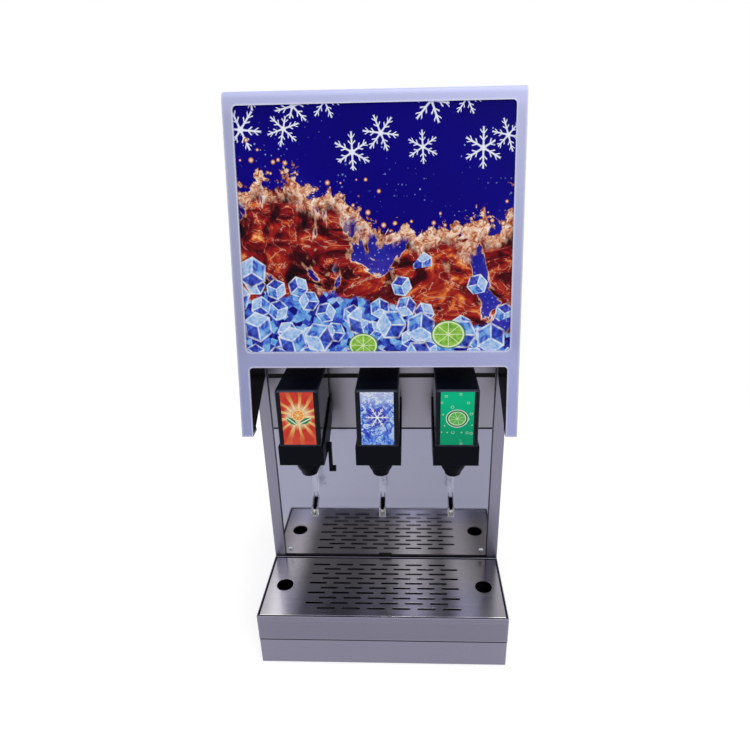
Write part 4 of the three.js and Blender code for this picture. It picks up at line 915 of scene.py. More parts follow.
@dataclass(frozen=True)
class Poster(Finish):
    """The printed picture: a wave of dark drink between deep blue, snow crystals and a bank of ice."""

    middle: tuple[float, float] = (0.0, 682 * MM)
    half: tuple[float, float] = (186 * MM, 161 * MM)

    def draw(self, g: Graph) -> dict[str, Feed]:
        """Layers from back to front: ground, crystals, drink, lace, drops, ice and lime slices.

        Args:
            g: The material's graph.

        Returns:
            What feeds each input of the shader, by name.
        """
        x, _, z = g.parts(g.place())
        u, v = (x - self.middle[0]) / self.half[0], (z - self.middle[1]) / self.half[1]
        flat = g.joined(u * 1.15, v)
        warp = g.noise(flat, 2.3, 3.0, 0.5)
        spike = g.noise(g.mapped(flat, (4.2, 1.1, 1.0)), 1.5, 5.0, 0.62)
        crest = g.math("SINE", u * 2.4 + 3.6) * 0.22 + (warp - 0.5) * 0.35 + (spike - 0.5) * 0.55 + 0.14
        above = v - crest
        picture = self.ground(g, flat, v, above)
        picture = self.drink(g, flat, picture, above)
        picture = self.lace(g, flat, picture, above)
        return {
            "Base Color": self.ice(g, flat, picture, u, v),
            "Roughness": g.noise(g.place(), 30.0, 3.0) * 0.2 + 0.3,
            "Specular IOR Level": 0.05,
            "Normal": g.bump(g.noise(g.place(), 2600.0, 2.0), 0.01 * MM, 0.3),
        }

    def ground(self, g: Graph, flat: Wire, v: Wire, above: Wire) -> Wire:
        """Deep blue that glows near the wave, with snow crystals along the top and fine spray.

        Args:
            g: The material's graph.
            flat: The place on the picture.
            v: The height, from -1 to 1.
            above: How far the place is above the wave's crest.

        Returns:
            The picture with this layer.
        """
        blues = inks((0.1, 6, 0, 112), (0.5, 10, 0, 128), (0.85, 44, 52, 182))
        tone = g.ramp(g.noise(flat, 1.3, 2.0) - v * 0.25, blues)
        chance = SCATTER.on(g, Vector=g.mapped(flat, location=(0.4, 0.9, 0.0)), Scale=2.7, Loose=0.65)
        wide = g.scaled(chance["Local"], chance["Other"] * 0.5 + 0.84)
        star = CRYSTAL.on(g, Local=wide)["Mask"] * g.step(chance["Rise"], 1.5, 1.51)
        picture = g.mix(star * g.step(chance["Chance"], 0.12, 0.13), tone, ink(238, 242, 255))
        spray = SCATTER.on(g, Vector=flat, Scale=24.0, Loose=1.0)
        away = g.length(spray["Local"]) - spray["Other"] * 0.16
        thick = g.step(spray["Chance"] - above * 0.5, 0.5, 0.6) * g.step(g.noise(flat, 2.4), 0.42, 0.6)
        return g.mix(g.fall(away, 0.0, 0.08) * thick * 0.75, picture, ink(150, 176, 240))

    def drink(self, g: Graph, flat: Wire, under: Wire, above: Wire) -> Wire:
        """Liquid from near-black brown to red-orange below the crest line, veined with light.

        Args:
            g: The material's graph.
            flat: The place on the picture.
            under: The picture so far.
            above: How far the place is above the wave's crest.

        Returns:
            The picture with this layer.
        """
        leaning = g.mapped(flat, (1.7, 2.5, 1.0), turn=(0.0, 0.0, 0.5))
        flow = g.noise(leaning, 1.45, 5.0, 0.58, 1.9)
        body = g.ramp(flow, inks((0.32, 12, 5, 14), (0.42, 58, 8, 18), (0.5, 132, 20, 28),
                                 (0.58, 172, 44, 34), (0.66, 240, 134, 60), (0.74, 255, 214, 150),
                                 (0.84, 255, 246, 232)))
        vein = g.math("POWER", 1.0 - g.size(g.noise(leaning, 1.9, 3.0, 0.5, 2.0) - 0.5) * 6.0, 5.0)
        body = g.mix(g.step(vein, 0.5, 1.0) * g.step(flow, 0.42, 0.56) * 0.6, body, ink(250, 206, 168))
        hollow = g.noise(g.mapped(flat, (1.6, 1.2, 1.0), (2.3, 5.1, 0.0)), 1.5, 5.0, 0.56, 0.7)
        rim = g.step(g.size(hollow - 0.575), 0.004, 0.03, 0.9, 0.0)
        lit = g.ramp(flow, inks((0.35, 96, 32, 20), (0.5, 232, 178, 140), (0.62, 255, 240, 226)))
        wet = g.fall(above, -0.015, 0.015) * g.step(hollow, 0.57, 0.58, 1.0, 0.04)
        return g.mix(wet, under, g.mix(rim, body, lit))

    def lace(self, g: Graph, flat: Wire, under: Wire, above: Wire) -> Wire:
        """The torn crest: noise that thins out with height, cream inside, brown at its edges, and drops.

        Args:
            g: The material's graph.
            flat: The place on the picture.
            under: The picture so far.
            above: How far the place is above the wave's crest.

        Returns:
            The picture with this layer.
        """
        torn = g.noise(flat, 6.5, 6.0, 0.62, 0.9)
        left = torn - above * 0.95 - 0.44
        there = g.step(left, -0.004, 0.012) * g.step(above, -0.16, -0.02)
        gleam = g.noise(flat, 17.0, 4.0, 0.7, 1.2)
        creams = inks((0.3, 92, 34, 20), (0.42, 188, 98, 62), (0.52, 238, 190, 156), (0.64, 255, 240, 228))
        brim = g.step(left, 0.0, 0.05, 0.85, 0.0)
        picture = g.mix(there, under, g.mix(brim, g.ramp(gleam, creams), ink(120, 46, 30)))
        drop = SCATTER.on(g, Vector=flat, Scale=12.0, Loose=1.0)
        away = g.length(drop["Local"]) / (drop["Other"] * 0.22 + 0.08)
        near = g.step(above, 0.0, 0.04) * g.step(drop["Chance"] - above * 1.3, 0.38, 0.42)
        shade = g.ramp(away, inks((0.1, 255, 244, 232), (0.5, 232, 168, 128), (0.9, 132, 54, 34)))
        return g.mix(g.fall(away, 0.92, 1.0) * near, picture, shade)

    def ice(self, g: Graph, flat: Wire, under: Wire, u: Wire, v: Wire) -> Wire:
        """Crushed ice, two layers of tumbled cubes that pile up to the left, and slices of lime.

        Args:
            g: The material's graph.
            flat: The place on the picture.
            under: The picture so far.
            u: The place from left to right, from -1 to 1.
            v: The height, from -1 to 1.

        Returns:
            The picture with this layer.
        """
        rough = g.noise(flat, 5.0, 4.0, 0.6)
        bank = v + g.math("SINE", u * 2.1 - 0.4) * 0.16 + (rough - 0.5) * 0.3
        shard = g.parts(g.cells(flat, 19.0, "Color", voronoi_dimensions="2D"))
        blues = inks((0.05, 24, 14, 124), (0.26, 60, 84, 206), (0.46, 112, 176, 236), (0.66, 190, 212, 248),
                     (0.92, 246, 250, 255))
        crushed = g.ramp(shard[0] * 0.6 + g.noise(flat, 14.0, 4.0, 0.7, 0.8) * 0.9 - 0.5, blues)
        picture = g.mix(g.fall(bank, -0.68, -0.64), under, crushed)
        for scale, size, level, shift in ((4.6, 0.4, -0.42, 3.3), (3.3, 0.42, -0.56, 7.9)):
            moved = g.mapped(flat, location=(shift, shift, 0.0))
            lot = SCATTER.on(g, Vector=moved, Scale=scale, Loose=0.65)
            cube = CUBE.on(g, Local=lot["Local"], Size=size * 0.95)
            clear = g.noise(lot["Local"], 3.4, 4.0, 0.65, 0.9)
            face = g.ramp(cube["Tone"] * 0.7 + clear * 1.3 - 0.6, blues)
            glass = g.mix(cube["Edge"] * g.step(clear, 0.3, 0.6, 0.3, 0.95), face, ink(244, 250, 255))
            home = lot["Rise"] - shift + g.math("SINE", u * 2.1 - 0.4) * 0.1
            there = cube["Mask"] * g.fall(home + lot["Chance"] * 0.5, level + 0.22, level + 0.23)
            picture = g.mix(there * 0.94, picture, glass)
        greens = inks((0.3, 84, 160, 40), (0.7, 176, 224, 96))
        for left, low, size in ((0.62, -0.86, 0.15), (-0.12, -0.95, 0.13)):
            around = g.vector("SUBTRACT", flat, (left, low, 0.0))
            cut = SLICE.on(g, Vector=g.vector("DIVIDE", around, (size, size * 0.82, 1.0)))
            pulp = g.ramp(g.noise(flat, 26.0, 3.0, 0.6, 0.5), greens)
            lime = g.mix(cut["Flesh"], ink(226, 240, 196), pulp)
            picture = g.mix(cut["Disc"], picture, g.mix(cut["Rind"], lime, ink(34, 128, 44)))
        return picture


class Flavour(Enum):
    """Whose card it is: ground, a deep tone and a light tone."""

    CITRUS = (ink(224, 76, 60), ink(204, 46, 40), ink(255, 226, 128))
    ICE = (ink(92, 104, 226), ink(44, 34, 160), ink(244, 248, 255))
    LIME = (ink(0, 194, 140), ink(0, 112, 76), ink(244, 248, 242))


@dataclass(frozen=True)
class NameCard(Finish):
    """A printed card behind a clear film, with a plain picture of what the drink tastes of."""

    flavour: Flavour = Flavour.CITRUS
    centre: float = 0.0
    level: float = 433 * MM
    half: float = 23.5 * MM

    def draw(self, g: Graph) -> dict[str, Feed]:
        """The flavour's picture in half widths from the card's middle, under a thin gloss.

        Args:
            g: The material's graph.

        Returns:
            What feeds each input of the shader, by name.
        """
        x, _, z = g.parts(g.place())
        flat = g.joined((x - self.centre) / self.half, (z - self.level) / self.half)
        pictures = {Flavour.CITRUS: self.sunburst, Flavour.ICE: self.frozen, Flavour.LIME: self.leafy}
        return {
            "Base Color": pictures[self.flavour](g, flat, *self.flavour.value),
            "Roughness": g.noise(flat, 1.6) * 0.12 + 0.2,
            "Specular IOR Level": 0.1,
            "Normal": g.bump(g.noise(g.place(), 2200.0, 2.0), 0.01 * MM, 0.3),
        }

    def fruit(self, g: Graph, flat: Wire, under: Wire, place: Colour, size: Colour,
              tones: Sequence[Colour]) -> Wire:
        """Lays a slice over a picture.

        Args:
            g: The material's graph.
            flat: The place on the card.
            under: The picture so far.
            place: The slice's middle.
            size: Its half width and half height.
            tones: Rind, pith and flesh.

        Returns:
            The picture with the slice.
        """
        around = g.vector("DIVIDE", g.vector("SUBTRACT", flat, place), size)
        cut = SLICE.on(g, Vector=g.mapped(around, turn=(0.0, 0.0, 0.5)))
        inside = g.mix(cut["Rind"], g.mix(cut["Flesh"], tones[1], tones[2]), tones[0])
        return g.mix(cut["Disc"], under, inside)

    def sunburst(self, g: Graph, flat: Wire, base: Colour, deep: Colour, light: Colour) -> Wire:
        """Rays by angle that fade outwards, two leaves and an orange slice.

        Args:
            g: The material's graph.
            flat: The place on the card.
            base: The ground's colour.
            deep: The deep tone.
            light: The light tone.

        Returns:
            The picture.
        """
        around = g.vector("SUBTRACT", flat, (0.0, 0.16, 0.0))
        x, y, _ = g.parts(around)
        far = g.length(around)
        ray = g.step(g.math("SINE", g.math("ARCTAN2", y, x) * 13.0 + g.noise(flat, 1.2) * 4.0), 0.1, 0.8)
        picture = g.mix(g.step(g.noise(flat, 0.9), 0.3, 0.7), base, deep)
        picture = g.mix(ray * g.step(far, 0.5, 1.7, 0.95, 0.1), picture, light)
        picture = g.mix(g.step(far, 0.5, 1.0, 0.7, 0.0), picture, (1.0, 0.86, 0.5))
        for side, tilt in ((-1.0, 0.7), (1.0, -0.5)):
            off = g.vector("SUBTRACT", around, (0.42 * side, -0.3, 0.0))
            p, q, _ = g.parts(g.mapped(off, turn=(0.0, 0.0, tilt)))
            blade = g.size(q) * 3.2 + p * p * 3.4
            leaf = g.mix(g.step(g.size(q), 0.02, 0.04), (1.0, 1.0, 0.9), ink(20, 140, 84))
            picture = g.mix(g.fall(blade, 0.52, 0.6), picture, leaf)
        tones = (ink(244, 120, 30), ink(255, 246, 220), ink(252, 160, 44))
        return self.fruit(g, flat, picture, (0.0, 0.24, 0.0), (0.42, 0.4, 1.0), tones)

    def frozen(self, g: Graph, flat: Wire, base: Colour, deep: Colour, light: Colour) -> Wire:
        """Marbled ice in four tones, pale above and deeper below, with one large snow crystal.

        Args:
            g: The material's graph.
            flat: The place on the card.
            base: The ground's colour.
            deep: The deep tone.
            light: The light tone.

        Returns:
            The picture.
        """
        vein = g.noise(flat, 1.7, 6.0, 0.66, 2.6)
        picture = g.ramp(vein, ((0.37, deep), (0.45, base), (0.51, ink(104, 176, 246)), (0.57, light),
                                (0.64, ink(150, 176, 244)), (0.72, base)))
        rise = g.parts(flat)[1]
        picture = g.mix(g.step(rise, 0.5, 1.7, 0.0, 0.5), picture, light)
        picture = g.mix(g.step(rise, -1.7, -0.6, 0.35, 0.0), picture, ink(48, 132, 236))
        around = g.scaled(g.vector("SUBTRACT", flat, (0.0, 0.1, 0.0)), 0.62)
        far = g.length(around)
        picture = g.mix(g.step(far, 0.3, 0.5, 0.8, 0.0), picture, ink(60, 60, 190))
        return g.mix(CRYSTAL.on(g, Local=around)["Mask"], picture, (0.95, 0.98, 1.0))

    def leafy(self, g: Graph, flat: Wire, base: Colour, deep: Colour, light: Colour) -> Wire:
        """A ground that darkens downwards, a tilted slice of lime with a pale edge, and a few bubbles.

        Args:
            g: The material's graph.
            flat: The place on the card.
            base: The ground's colour.
            deep: The deep tone.
            light: The light tone.

        Returns:
            The picture.
        """
        picture = g.mix(g.step(g.parts(flat)[1], -1.4, 1.7, 0.5, 0.0), base, deep)
        rise = SCATTER.on(g, Vector=flat, Scale=2.4, Loose=1.0)
        away = g.length(rise["Local"])
        bubble = g.step(g.size(away - (rise["Other"] * 0.14 + 0.06)), 0.0, 0.045, 0.8, 0.0)
        picture = g.mix(bubble * g.step(rise["Chance"], 0.5, 0.52), picture, light)
        picture = self.fruit(g, flat, picture, (0.0, 0.02, 0.0), (0.68, 0.6, 1.0), (light, deep, light))
        return self.fruit(g, flat, picture, (0.0, 0.02, 0.0), (0.58, 0.5, 1.0),
                          (ink(0, 110, 60), ink(214, 240, 190), ink(96, 190, 90)))


# Painted reflection: tones of the light and dark stripes across the grille.
REFLECTION_BANDS = ((0.0, 1.3), (0.09, 2.4), (0.19, 0.52), (0.36, 0.45), (0.5, 0.8), (0.63, 2.6), (0.75, 0.8),
         (0.82, 1.6), (0.94, 0.5), (1.0, 0.5))
# Painted shade: heights and half heights of the dark stripes at the panel and tray joints, and the half width
# outside which panels are drawn dark.
UPPER_JOINT_SHADE, LOWER_JOINT_SHADE, TRAY_JOINT_SHADE = (451.75 * MM, 3.6 * MM), (358 * MM, 1.3 * MM), (49.7 * MM, 0.7 * MM)
PANEL_SHADE_SIDE = 180.5 * MM


def brushed(name: str, colour: Colour, **sizes: object) -> BrushedSteel:
    """A brushed sheet in the record's slot for brushed steel, a little plainer than the class's own."""
    return BrushedSteel(name, "brushed_steel", colour, **{"roughness": 0.34, "contrast": 0.1} | sizes)


LID_STEEL = brushed("lid_steel", ink(140, 137, 150))
# Painted shade at the panel joints and along the panel sides.
PANEL_STEEL = brushed("panel_steel", ink(138, 135, 148), joints=(LOWER_JOINT_SHADE, UPPER_JOINT_SHADE), side=PANEL_SHADE_SIDE)
# Painted shade at the tray's joint; the tray's and plinth's pale edges are partly rubbing and partly painted
# highlight.
TRAY_STEEL = brushed("tray_steel", ink(121, 119, 135), roughness=0.3, wear=0.9, rub=5 * MM,
                     joints=(TRAY_JOINT_SHADE,))
PLINTH_STEEL = brushed("plinth_steel", ink(132, 129, 147), roughness=0.3, wear=0.6, rub=3 * MM,
                       joints=(TRAY_JOINT_SHADE,))
# Painted reflection stripes across the grille, painted shade in its slots and below its top, and a painted
# highlight along its front edge.
GRILLE_STEEL = brushed("grille_steel", ink(154, 152, 158), roughness=0.24, contrast=0.2, wear=0.12,
                       bands=REFLECTION_BANDS, rub=0.6 * MM, shade=96.97 * MM, lip=-244.8 * MM)
SIDE_STEEL = brushed("side_steel", ink(130, 128, 145), grain=Grain.ALONG_Z, wear=0.7)
VESSEL_STEEL = brushed("vessel_steel", ink(158, 158, 162), grain=Grain.ALONG_Z, roughness=0.26, contrast=0.12)
BATH_STEEL = brushed("bath_steel", ink(162, 164, 168), roughness=0.28)
# The mirror panel's colour is a painted reflection, with painted shade at its joint and sides.
MIRROR_STEEL = MirrorSteel("mirror_steel", "mirror_steel", ink(150, 150, 171), roughness=0.035,
                           contrast=0.04, one_way=0.0, haze=0.05, wear=0.3, uneven=0.2,
                           joints=(LOWER_JOINT_SHADE,), side=PANEL_SHADE_SIDE)
ALUMINIUM = BrushedSteel("drawn_aluminium", "aluminium", ink(186, 190, 196), Grain.ALONG_Z, 0.32, 0.12)
ZINC = ZincSteel("zinc_steel", "zinc_steel")
BRIGHT_ZINC = ZincSteel("bright_zinc", "zinc_steel", ink(176, 178, 186), flake=700.0, roughness=0.28)
BLACK_STEEL = Coating("black_powder_coat", "black_steel", ink(24, 25, 28), ink(96, 98, 102), roughness=0.48,
                      texture=1100.0, depth=0.08 * MM, mottle=0.2, wear=0.35, dust=0.25, gloss=0.4)
# The fascia's tone carries painted light and shade, and its near-white edge colour is a painted highlight
# along its rims, partly rubbing.
LAVENDER = SatinPaint("lavender_satin", "fascia", ink(173, 177, 215), ink(240, 241, 252), roughness=0.34,
                      texture=1300.0, depth=0.02 * MM, mottle=0.03, wear=0.85, gloss=0.4, coat=0.1,
                      rub=5 * MM)
# The gloss black's pale edge colour is a painted highlight along the valve covers' rails, partly rubbing.
GLOSS_BLACK = Coating("gloss_black", "gloss_black", ink(6, 8, 18), ink(84, 90, 112), roughness=0.2,
                      texture=500.0, depth=0.01 * MM, mottle=0.2, wear=0.7, gloss=0.1, rub=4 * MM)
MATT_BLACK = Coating("matt_black", "matt_black", ink(6, 9, 18), ink(58, 62, 72), roughness=0.42,
                     texture=1500.0, mottle=0.2, wear=0.3, gloss=0.05)
WHITE_PLASTIC = Coating("white_plastic", "white_plastic", ink(226, 226, 222), ink(238, 238, 236),
                        texture=1200.0, depth=0.04 * MM, mottle=0.04, wear=0.2, dust=0.1, gloss=0.4)
RUBBER = Coating("black_rubber", "rubber", ink(28, 28, 30), ink(62, 62, 64), roughness=0.66, texture=700.0,
                 depth=0.12 * MM, mottle=0.25, wear=0.3, dust=0.35, gloss=0.3)
COPPER = Copper("drawn_copper", "copper")
FOAM = Foam("blown_foam", "foam")
PICTURE = Poster("picture_print", "picture")


# Surfaces


def rounded(points: Sequence[tuple[float, float]], reach: Sequence[float] | float, steps: int) -> np.ndarray:
    """Rounds the inner corners of a polyline, all corners at once.

    Each corner C between neighbours P and N becomes (1-t)(1-t) A + 2 t (1-t) C + t t B for t from 0
    to 1, where A and B lie on the two sides, the reach away from C but never past a side's middle.

    Args:
        points: The polyline's points, the first and last of which stay.
        reach: How far each corner's rounding goes along its sides.
        steps: Steps in each rounding.

    Returns:
        The rounded polyline, one row for each point.
    """
    line = np.asarray(points, float)
    before, corner, after = line[:-2], line[1:-1], line[2:]
    cut = np.broadcast_to(np.asarray(reach, float), len(corner))
    back, on = before - corner, after - corner
    long_back, long_on = np.linalg.norm(back, axis=1), np.linalg.norm(on, axis=1)
    start = corner + back * (np.minimum(cut, long_back / 2) / long_back)[:, None]
    end = corner + on * (np.minimum(cut, long_on / 2) / long_on)[:, None]
    t = np.linspace(0.0, 1.0, steps + 1)[None, :, None]
    bends = (1 - t) ** 2 * start[:, None] + 2 * t * (1 - t) * corner[:, None] + t ** 2 * end[:, None]
    return np.vstack([line[:1], bends.reshape(-1, line.shape[1]), line[-1:]])


def surface(name: str, points: np.ndarray, sharp: float = math.radians(32)) -> bpy.types.Object:
    """Makes a closed mesh object from a grid whose columns run round a loop.

    Args:
        name: The object's name.
        points: The grid, rows by columns by 3, in metres. Open ends are closed with a face.
        sharp: Edges that turn further than this stay crisp.

    Returns:
        The object, smooth shaded.
    """
    rows, columns = points.shape[:2]
    row, column = np.meshgrid(np.arange(rows - 1), np.arange(columns), indexing="ij")
    beside = (column + 1) % columns
    quads = np.stack([row * columns + column, row * columns + beside,
                      (row + 1) * columns + beside, (row + 1) * columns + column], axis=-1)
    mesh = bpy.data.meshes.new(name)
    mesh.from_pydata(points.reshape(-1, 3), [], quads.reshape(-1, 4))
    bm = bmesh.new()
    bm.from_mesh(mesh)
    bmesh.ops.remove_doubles(bm, verts=bm.verts, dist=TOUCHING)
    bmesh.ops.dissolve_degenerate(bm, edges=bm.edges, dist=TOUCHING)
    bmesh.ops.holes_fill(bm, edges=bm.edges, sides=0)
    bmesh.ops.recalc_face_normals(bm, faces=bm.faces)
    bm.to_mesh(mesh)
    bm.free()
    return placed(name, mesh, sharp)


def linked(name: str, data: bpy.types.ID) -> bpy.types.Object:
    """Makes an object of some data and puts it in the scene.

    Args:
        name: The object's name.
        data: Its mesh, camera or lamp.

    Returns:
        The object.
    """
    made = bpy.data.objects.new(name, data)
    bpy.context.scene.collection.objects.link(made)
    return made


def placed(name: str, mesh: bpy.types.Mesh, sharp: float) -> bpy.types.Object:
    """Puts a mesh in the scene, smooth but for its crisp edges.

    Args:
        name: The object's name.
        mesh: The mesh.
        sharp: Edges that turn further than this stay crisp.

    Returns:
        The object.
    """
    mesh.shade_smooth()
    mesh.set_sharp_from_angle(angle=sharp)
    return linked(name, mesh)


def turned(name: str, profile: np.ndarray, centre: Sequence[float], steps: int) -> bpy.types.Object:
    """Turns a profile round an upright axis.

    The point for profile row (r, h) and angle a is (r cos a, r sin a, h), moved to the centre.

    Args:
        name: The object's name.
        profile: Rows of radius and height in millimetres.
        centre: The axis's foot in millimetres.
        steps: Steps round the axis.

    Returns:
        The object.
    """
    rim = profile[:, None, :1] * ring(1.0, steps)
    height = np.broadcast_to(profile[:, None, 1:], (len(profile), steps, 1))
    return surface(name, (np.concatenate([rim, height], axis=-1) + np.asarray(centre)) * MM)


def swept(name: str, section: np.ndarray, path: np.ndarray, side: np.ndarray,
          size: np.ndarray | float = 1.0) -> bpy.types.Object:
    """Carries a closed section along a path.

    The point for path row i and section row j is path[i] + size[i] (s side[i] + t up[i]), where (s, t)
    is the section's point and up is the cross product of the path's direction and the side.

    Args:
        name: The object's name.
        section: Rows of side and up distances in millimetres, once round.
        path: The path's points in millimetres.
        side: The side direction, one for all points or one for each.
        size: The section's size along the path, one or one for each point.

    Returns:
        The object.
    """
    ahead = np.gradient(path, axis=0)
    ahead /= np.linalg.norm(ahead, axis=1, keepdims=True)
    sides = np.broadcast_to(side, path.shape)
    across = sides - ahead * np.sum(sides * ahead, axis=1, keepdims=True)
    across /= np.linalg.norm(across, axis=1, keepdims=True)
    up = np.cross(ahead, across)
    scale = np.broadcast_to(size, len(path))[:, None, None]
    round_path = section[None, :, :1] * across[:, None] + section[None, :, 1:] * up[:, None]
    return surface(name, (path[:, None] + scale * round_path) * MM)


def ring(radius: float, steps: int) -> np.ndarray:
    """A circle of a radius as a section."""
    angle = np.linspace(0.0, 2 * np.pi, steps, endpoint=False)
    return radius * np.stack([np.cos(angle), np.sin(angle)], axis=1)


def bar(wide: float, high: float, reach: float) -> np.ndarray:
    """A rectangle of two half sizes with rounded corners as a section."""
    corners = [(0, high), (wide, high), (wide, -high), (-wide, -high), (-wide, high), (0, high)]
    return rounded(corners, reach, 3)[:-1]


def settle(piece: bpy.types.Object, finish: Finish, body: str, *stands_for: str) -> bpy.types.Object:
    """Dresses a new piece and sets what carries it.

    Args:
        piece: The piece, already in its place.
        finish: Its finish.
        body: The CAD body that it rides on.
        stands_for: The CAD nodes that it replaces.

    Returns:
        The piece.
    """
    piece.data.materials.clear()
    piece.data.materials.append(finish.material())
    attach(piece, body)
    if stands_for:
        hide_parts(*stands_for)
    log.info("%s: %d faces in %s on %s", piece.name, len(piece.data.polygons), finish.name, body)
    return piece


@dataclass(frozen=True)
class BroadRound:
    """A wider rounding for the sharp edges that lie wholly between two corners, all in millimetres."""

    width: float
    low: tuple[float, float, float]
    high: tuple[float, float, float]
    steps: int = 5

    def weigh(self, bm: bmesh.types.BMesh) -> None:
        """Marks each sharp edge in the box for the wide bevel.

        Args:
            bm: The solid's mesh, in metres.
        """
        weight = bm.edges.layers.float.new("bevel_weight_edge")
        low, high = Vector(self.low) * MM, Vector(self.high) * MM
        for edge in bm.edges:
            inside = all(low[i] <= vertex.co[i] <= high[i] for vertex in edge.verts for i in range(3))
            if inside and edge.calc_face_angle(0.0) > SHARP:
                edge[weight] = 1.0


def refined(node: str, finish: Finish, width: float, steps: int = 2, broad: BroadRound | None = None,
            cuts: Sequence[float] = ()) -> bpy.types.Object:
    """Replaces a CAD node with a merged copy whose edges are rounded as a maker would leave them.

    Args:
        node: The CAD node.
        finish: The copy's finish.
        width: The width of its edges' rounding in millimetres.
        steps: Steps in the rounding.
        broad: Edges that get a wider rounding first.
        cuts: Heights in millimetres at which large flat faces are parted, so that none is a long sliver.

    Returns:
        The copy.
    """
    bm = bmesh.new()
    bm.from_mesh(frame["nodes"][node].data)
    bmesh.ops.remove_doubles(bm, verts=bm.verts, dist=SAME_PLACE)
    bmesh.ops.dissolve_limit(bm, angle_limit=FLAT, use_dissolve_boundaries=False, verts=bm.verts,
                             edges=bm.edges)
    for level in cuts:
        bmesh.ops.bisect_plane(bm, geom=[*bm.verts, *bm.edges, *bm.faces], dist=SAME_PLACE,
                               plane_co=(0, 0, level * MM), plane_no=(0, 0, 1))
    bmesh.ops.connect_verts_concave(bm, faces=bm.faces)
    if broad:
        broad.weigh(bm)
    mesh = bpy.data.meshes.new(node + "_fine")
    bm.to_mesh(mesh)
    bm.free()
    piece = placed(node + "_fine", mesh, SHARP)
    if broad:
        wide = piece.modifiers.new("broad_edges", "BEVEL")
        wide.width, wide.segments, wide.limit_method = broad.width * MM, broad.steps, "WEIGHT"
        wide.use_clamp_overlap = False
    bevel = piece.modifiers.new("rounded_edges", "BEVEL")
    bevel.width, bevel.segments = width * MM, steps
    bevel.limit_method, bevel.angle_limit, bevel.loop_slide = "ANGLE", SHARP, False
    flat = piece.modifiers.new("flat_faces_flat", "WEIGHTED_NORMAL")
    flat.keep_sharp, flat.weight = True, 100
    return settle(piece, finish, BODY_OF[node], node)


def refine_all(*rows: tuple) -> None:
    """Refines several CAD nodes, each given as a row of what refined takes, in its order."""
    for row in rows:
        refined(*row)


# The machine


@dataclass
class Base:
    """Feet, chassis, plinth, drip tray and cup grille."""

    foot_radius: float = 14.0
    foot_height: float = 9.7
    foot_places: tuple[float, float, float] = (160.0, -215.0, 195.0)

    def build(self) -> None:
        """Builds the base from the floor up."""
        x, front, rear = self.foot_places
        for row, y in (("front", front), ("rear", rear)):
            for side, sign in (("left", -1), ("right", 1)):
                self.foot(f"{row}_{side}", sign * x, y)
        # The chassis is black powder coat, made dark so that it stands in for the shade in the gap under the
        # splash panel.
        refine_all(("base_chassis", BLACK_STEEL, 0.4, 2), ("plinth_box", PLINTH_STEEL, 1.2, 3),
                   ("drip_tray", TRAY_STEEL, 0.7, 3), ("cup_grille", GRILLE_STEEL, 0.3, 2))

    def foot(self, place: str, x: float, y: float) -> None:
        """Turns one rubber foot: a rounded pad under two shallow rings and a flat top.

        Args:
            place: Which corner it is at, as in the CAD node's name.
            x: Its place across in millimetres.
            y: Its place from front to rear in millimetres.
        """
        r, top = self.foot_radius, self.foot_height
        profile = rounded([(0, 0), (r - 0.6, 0), (r + 1, 1.6), (r, 3.6), (r + 0.4, 4.4), (r - 0.6, 5.4),
                           (r - 0.2, 6.4), (r - 1, top), (0, top)], [0.8, 1.2, 1, 0.5, 0.5, 0.5, 1], 4)
        foot = turned(f"foot_{place}_turned", profile, (x, y, 0.0), 48)
        settle(foot, RUBBER, "cabinet", f"foot_{place}")


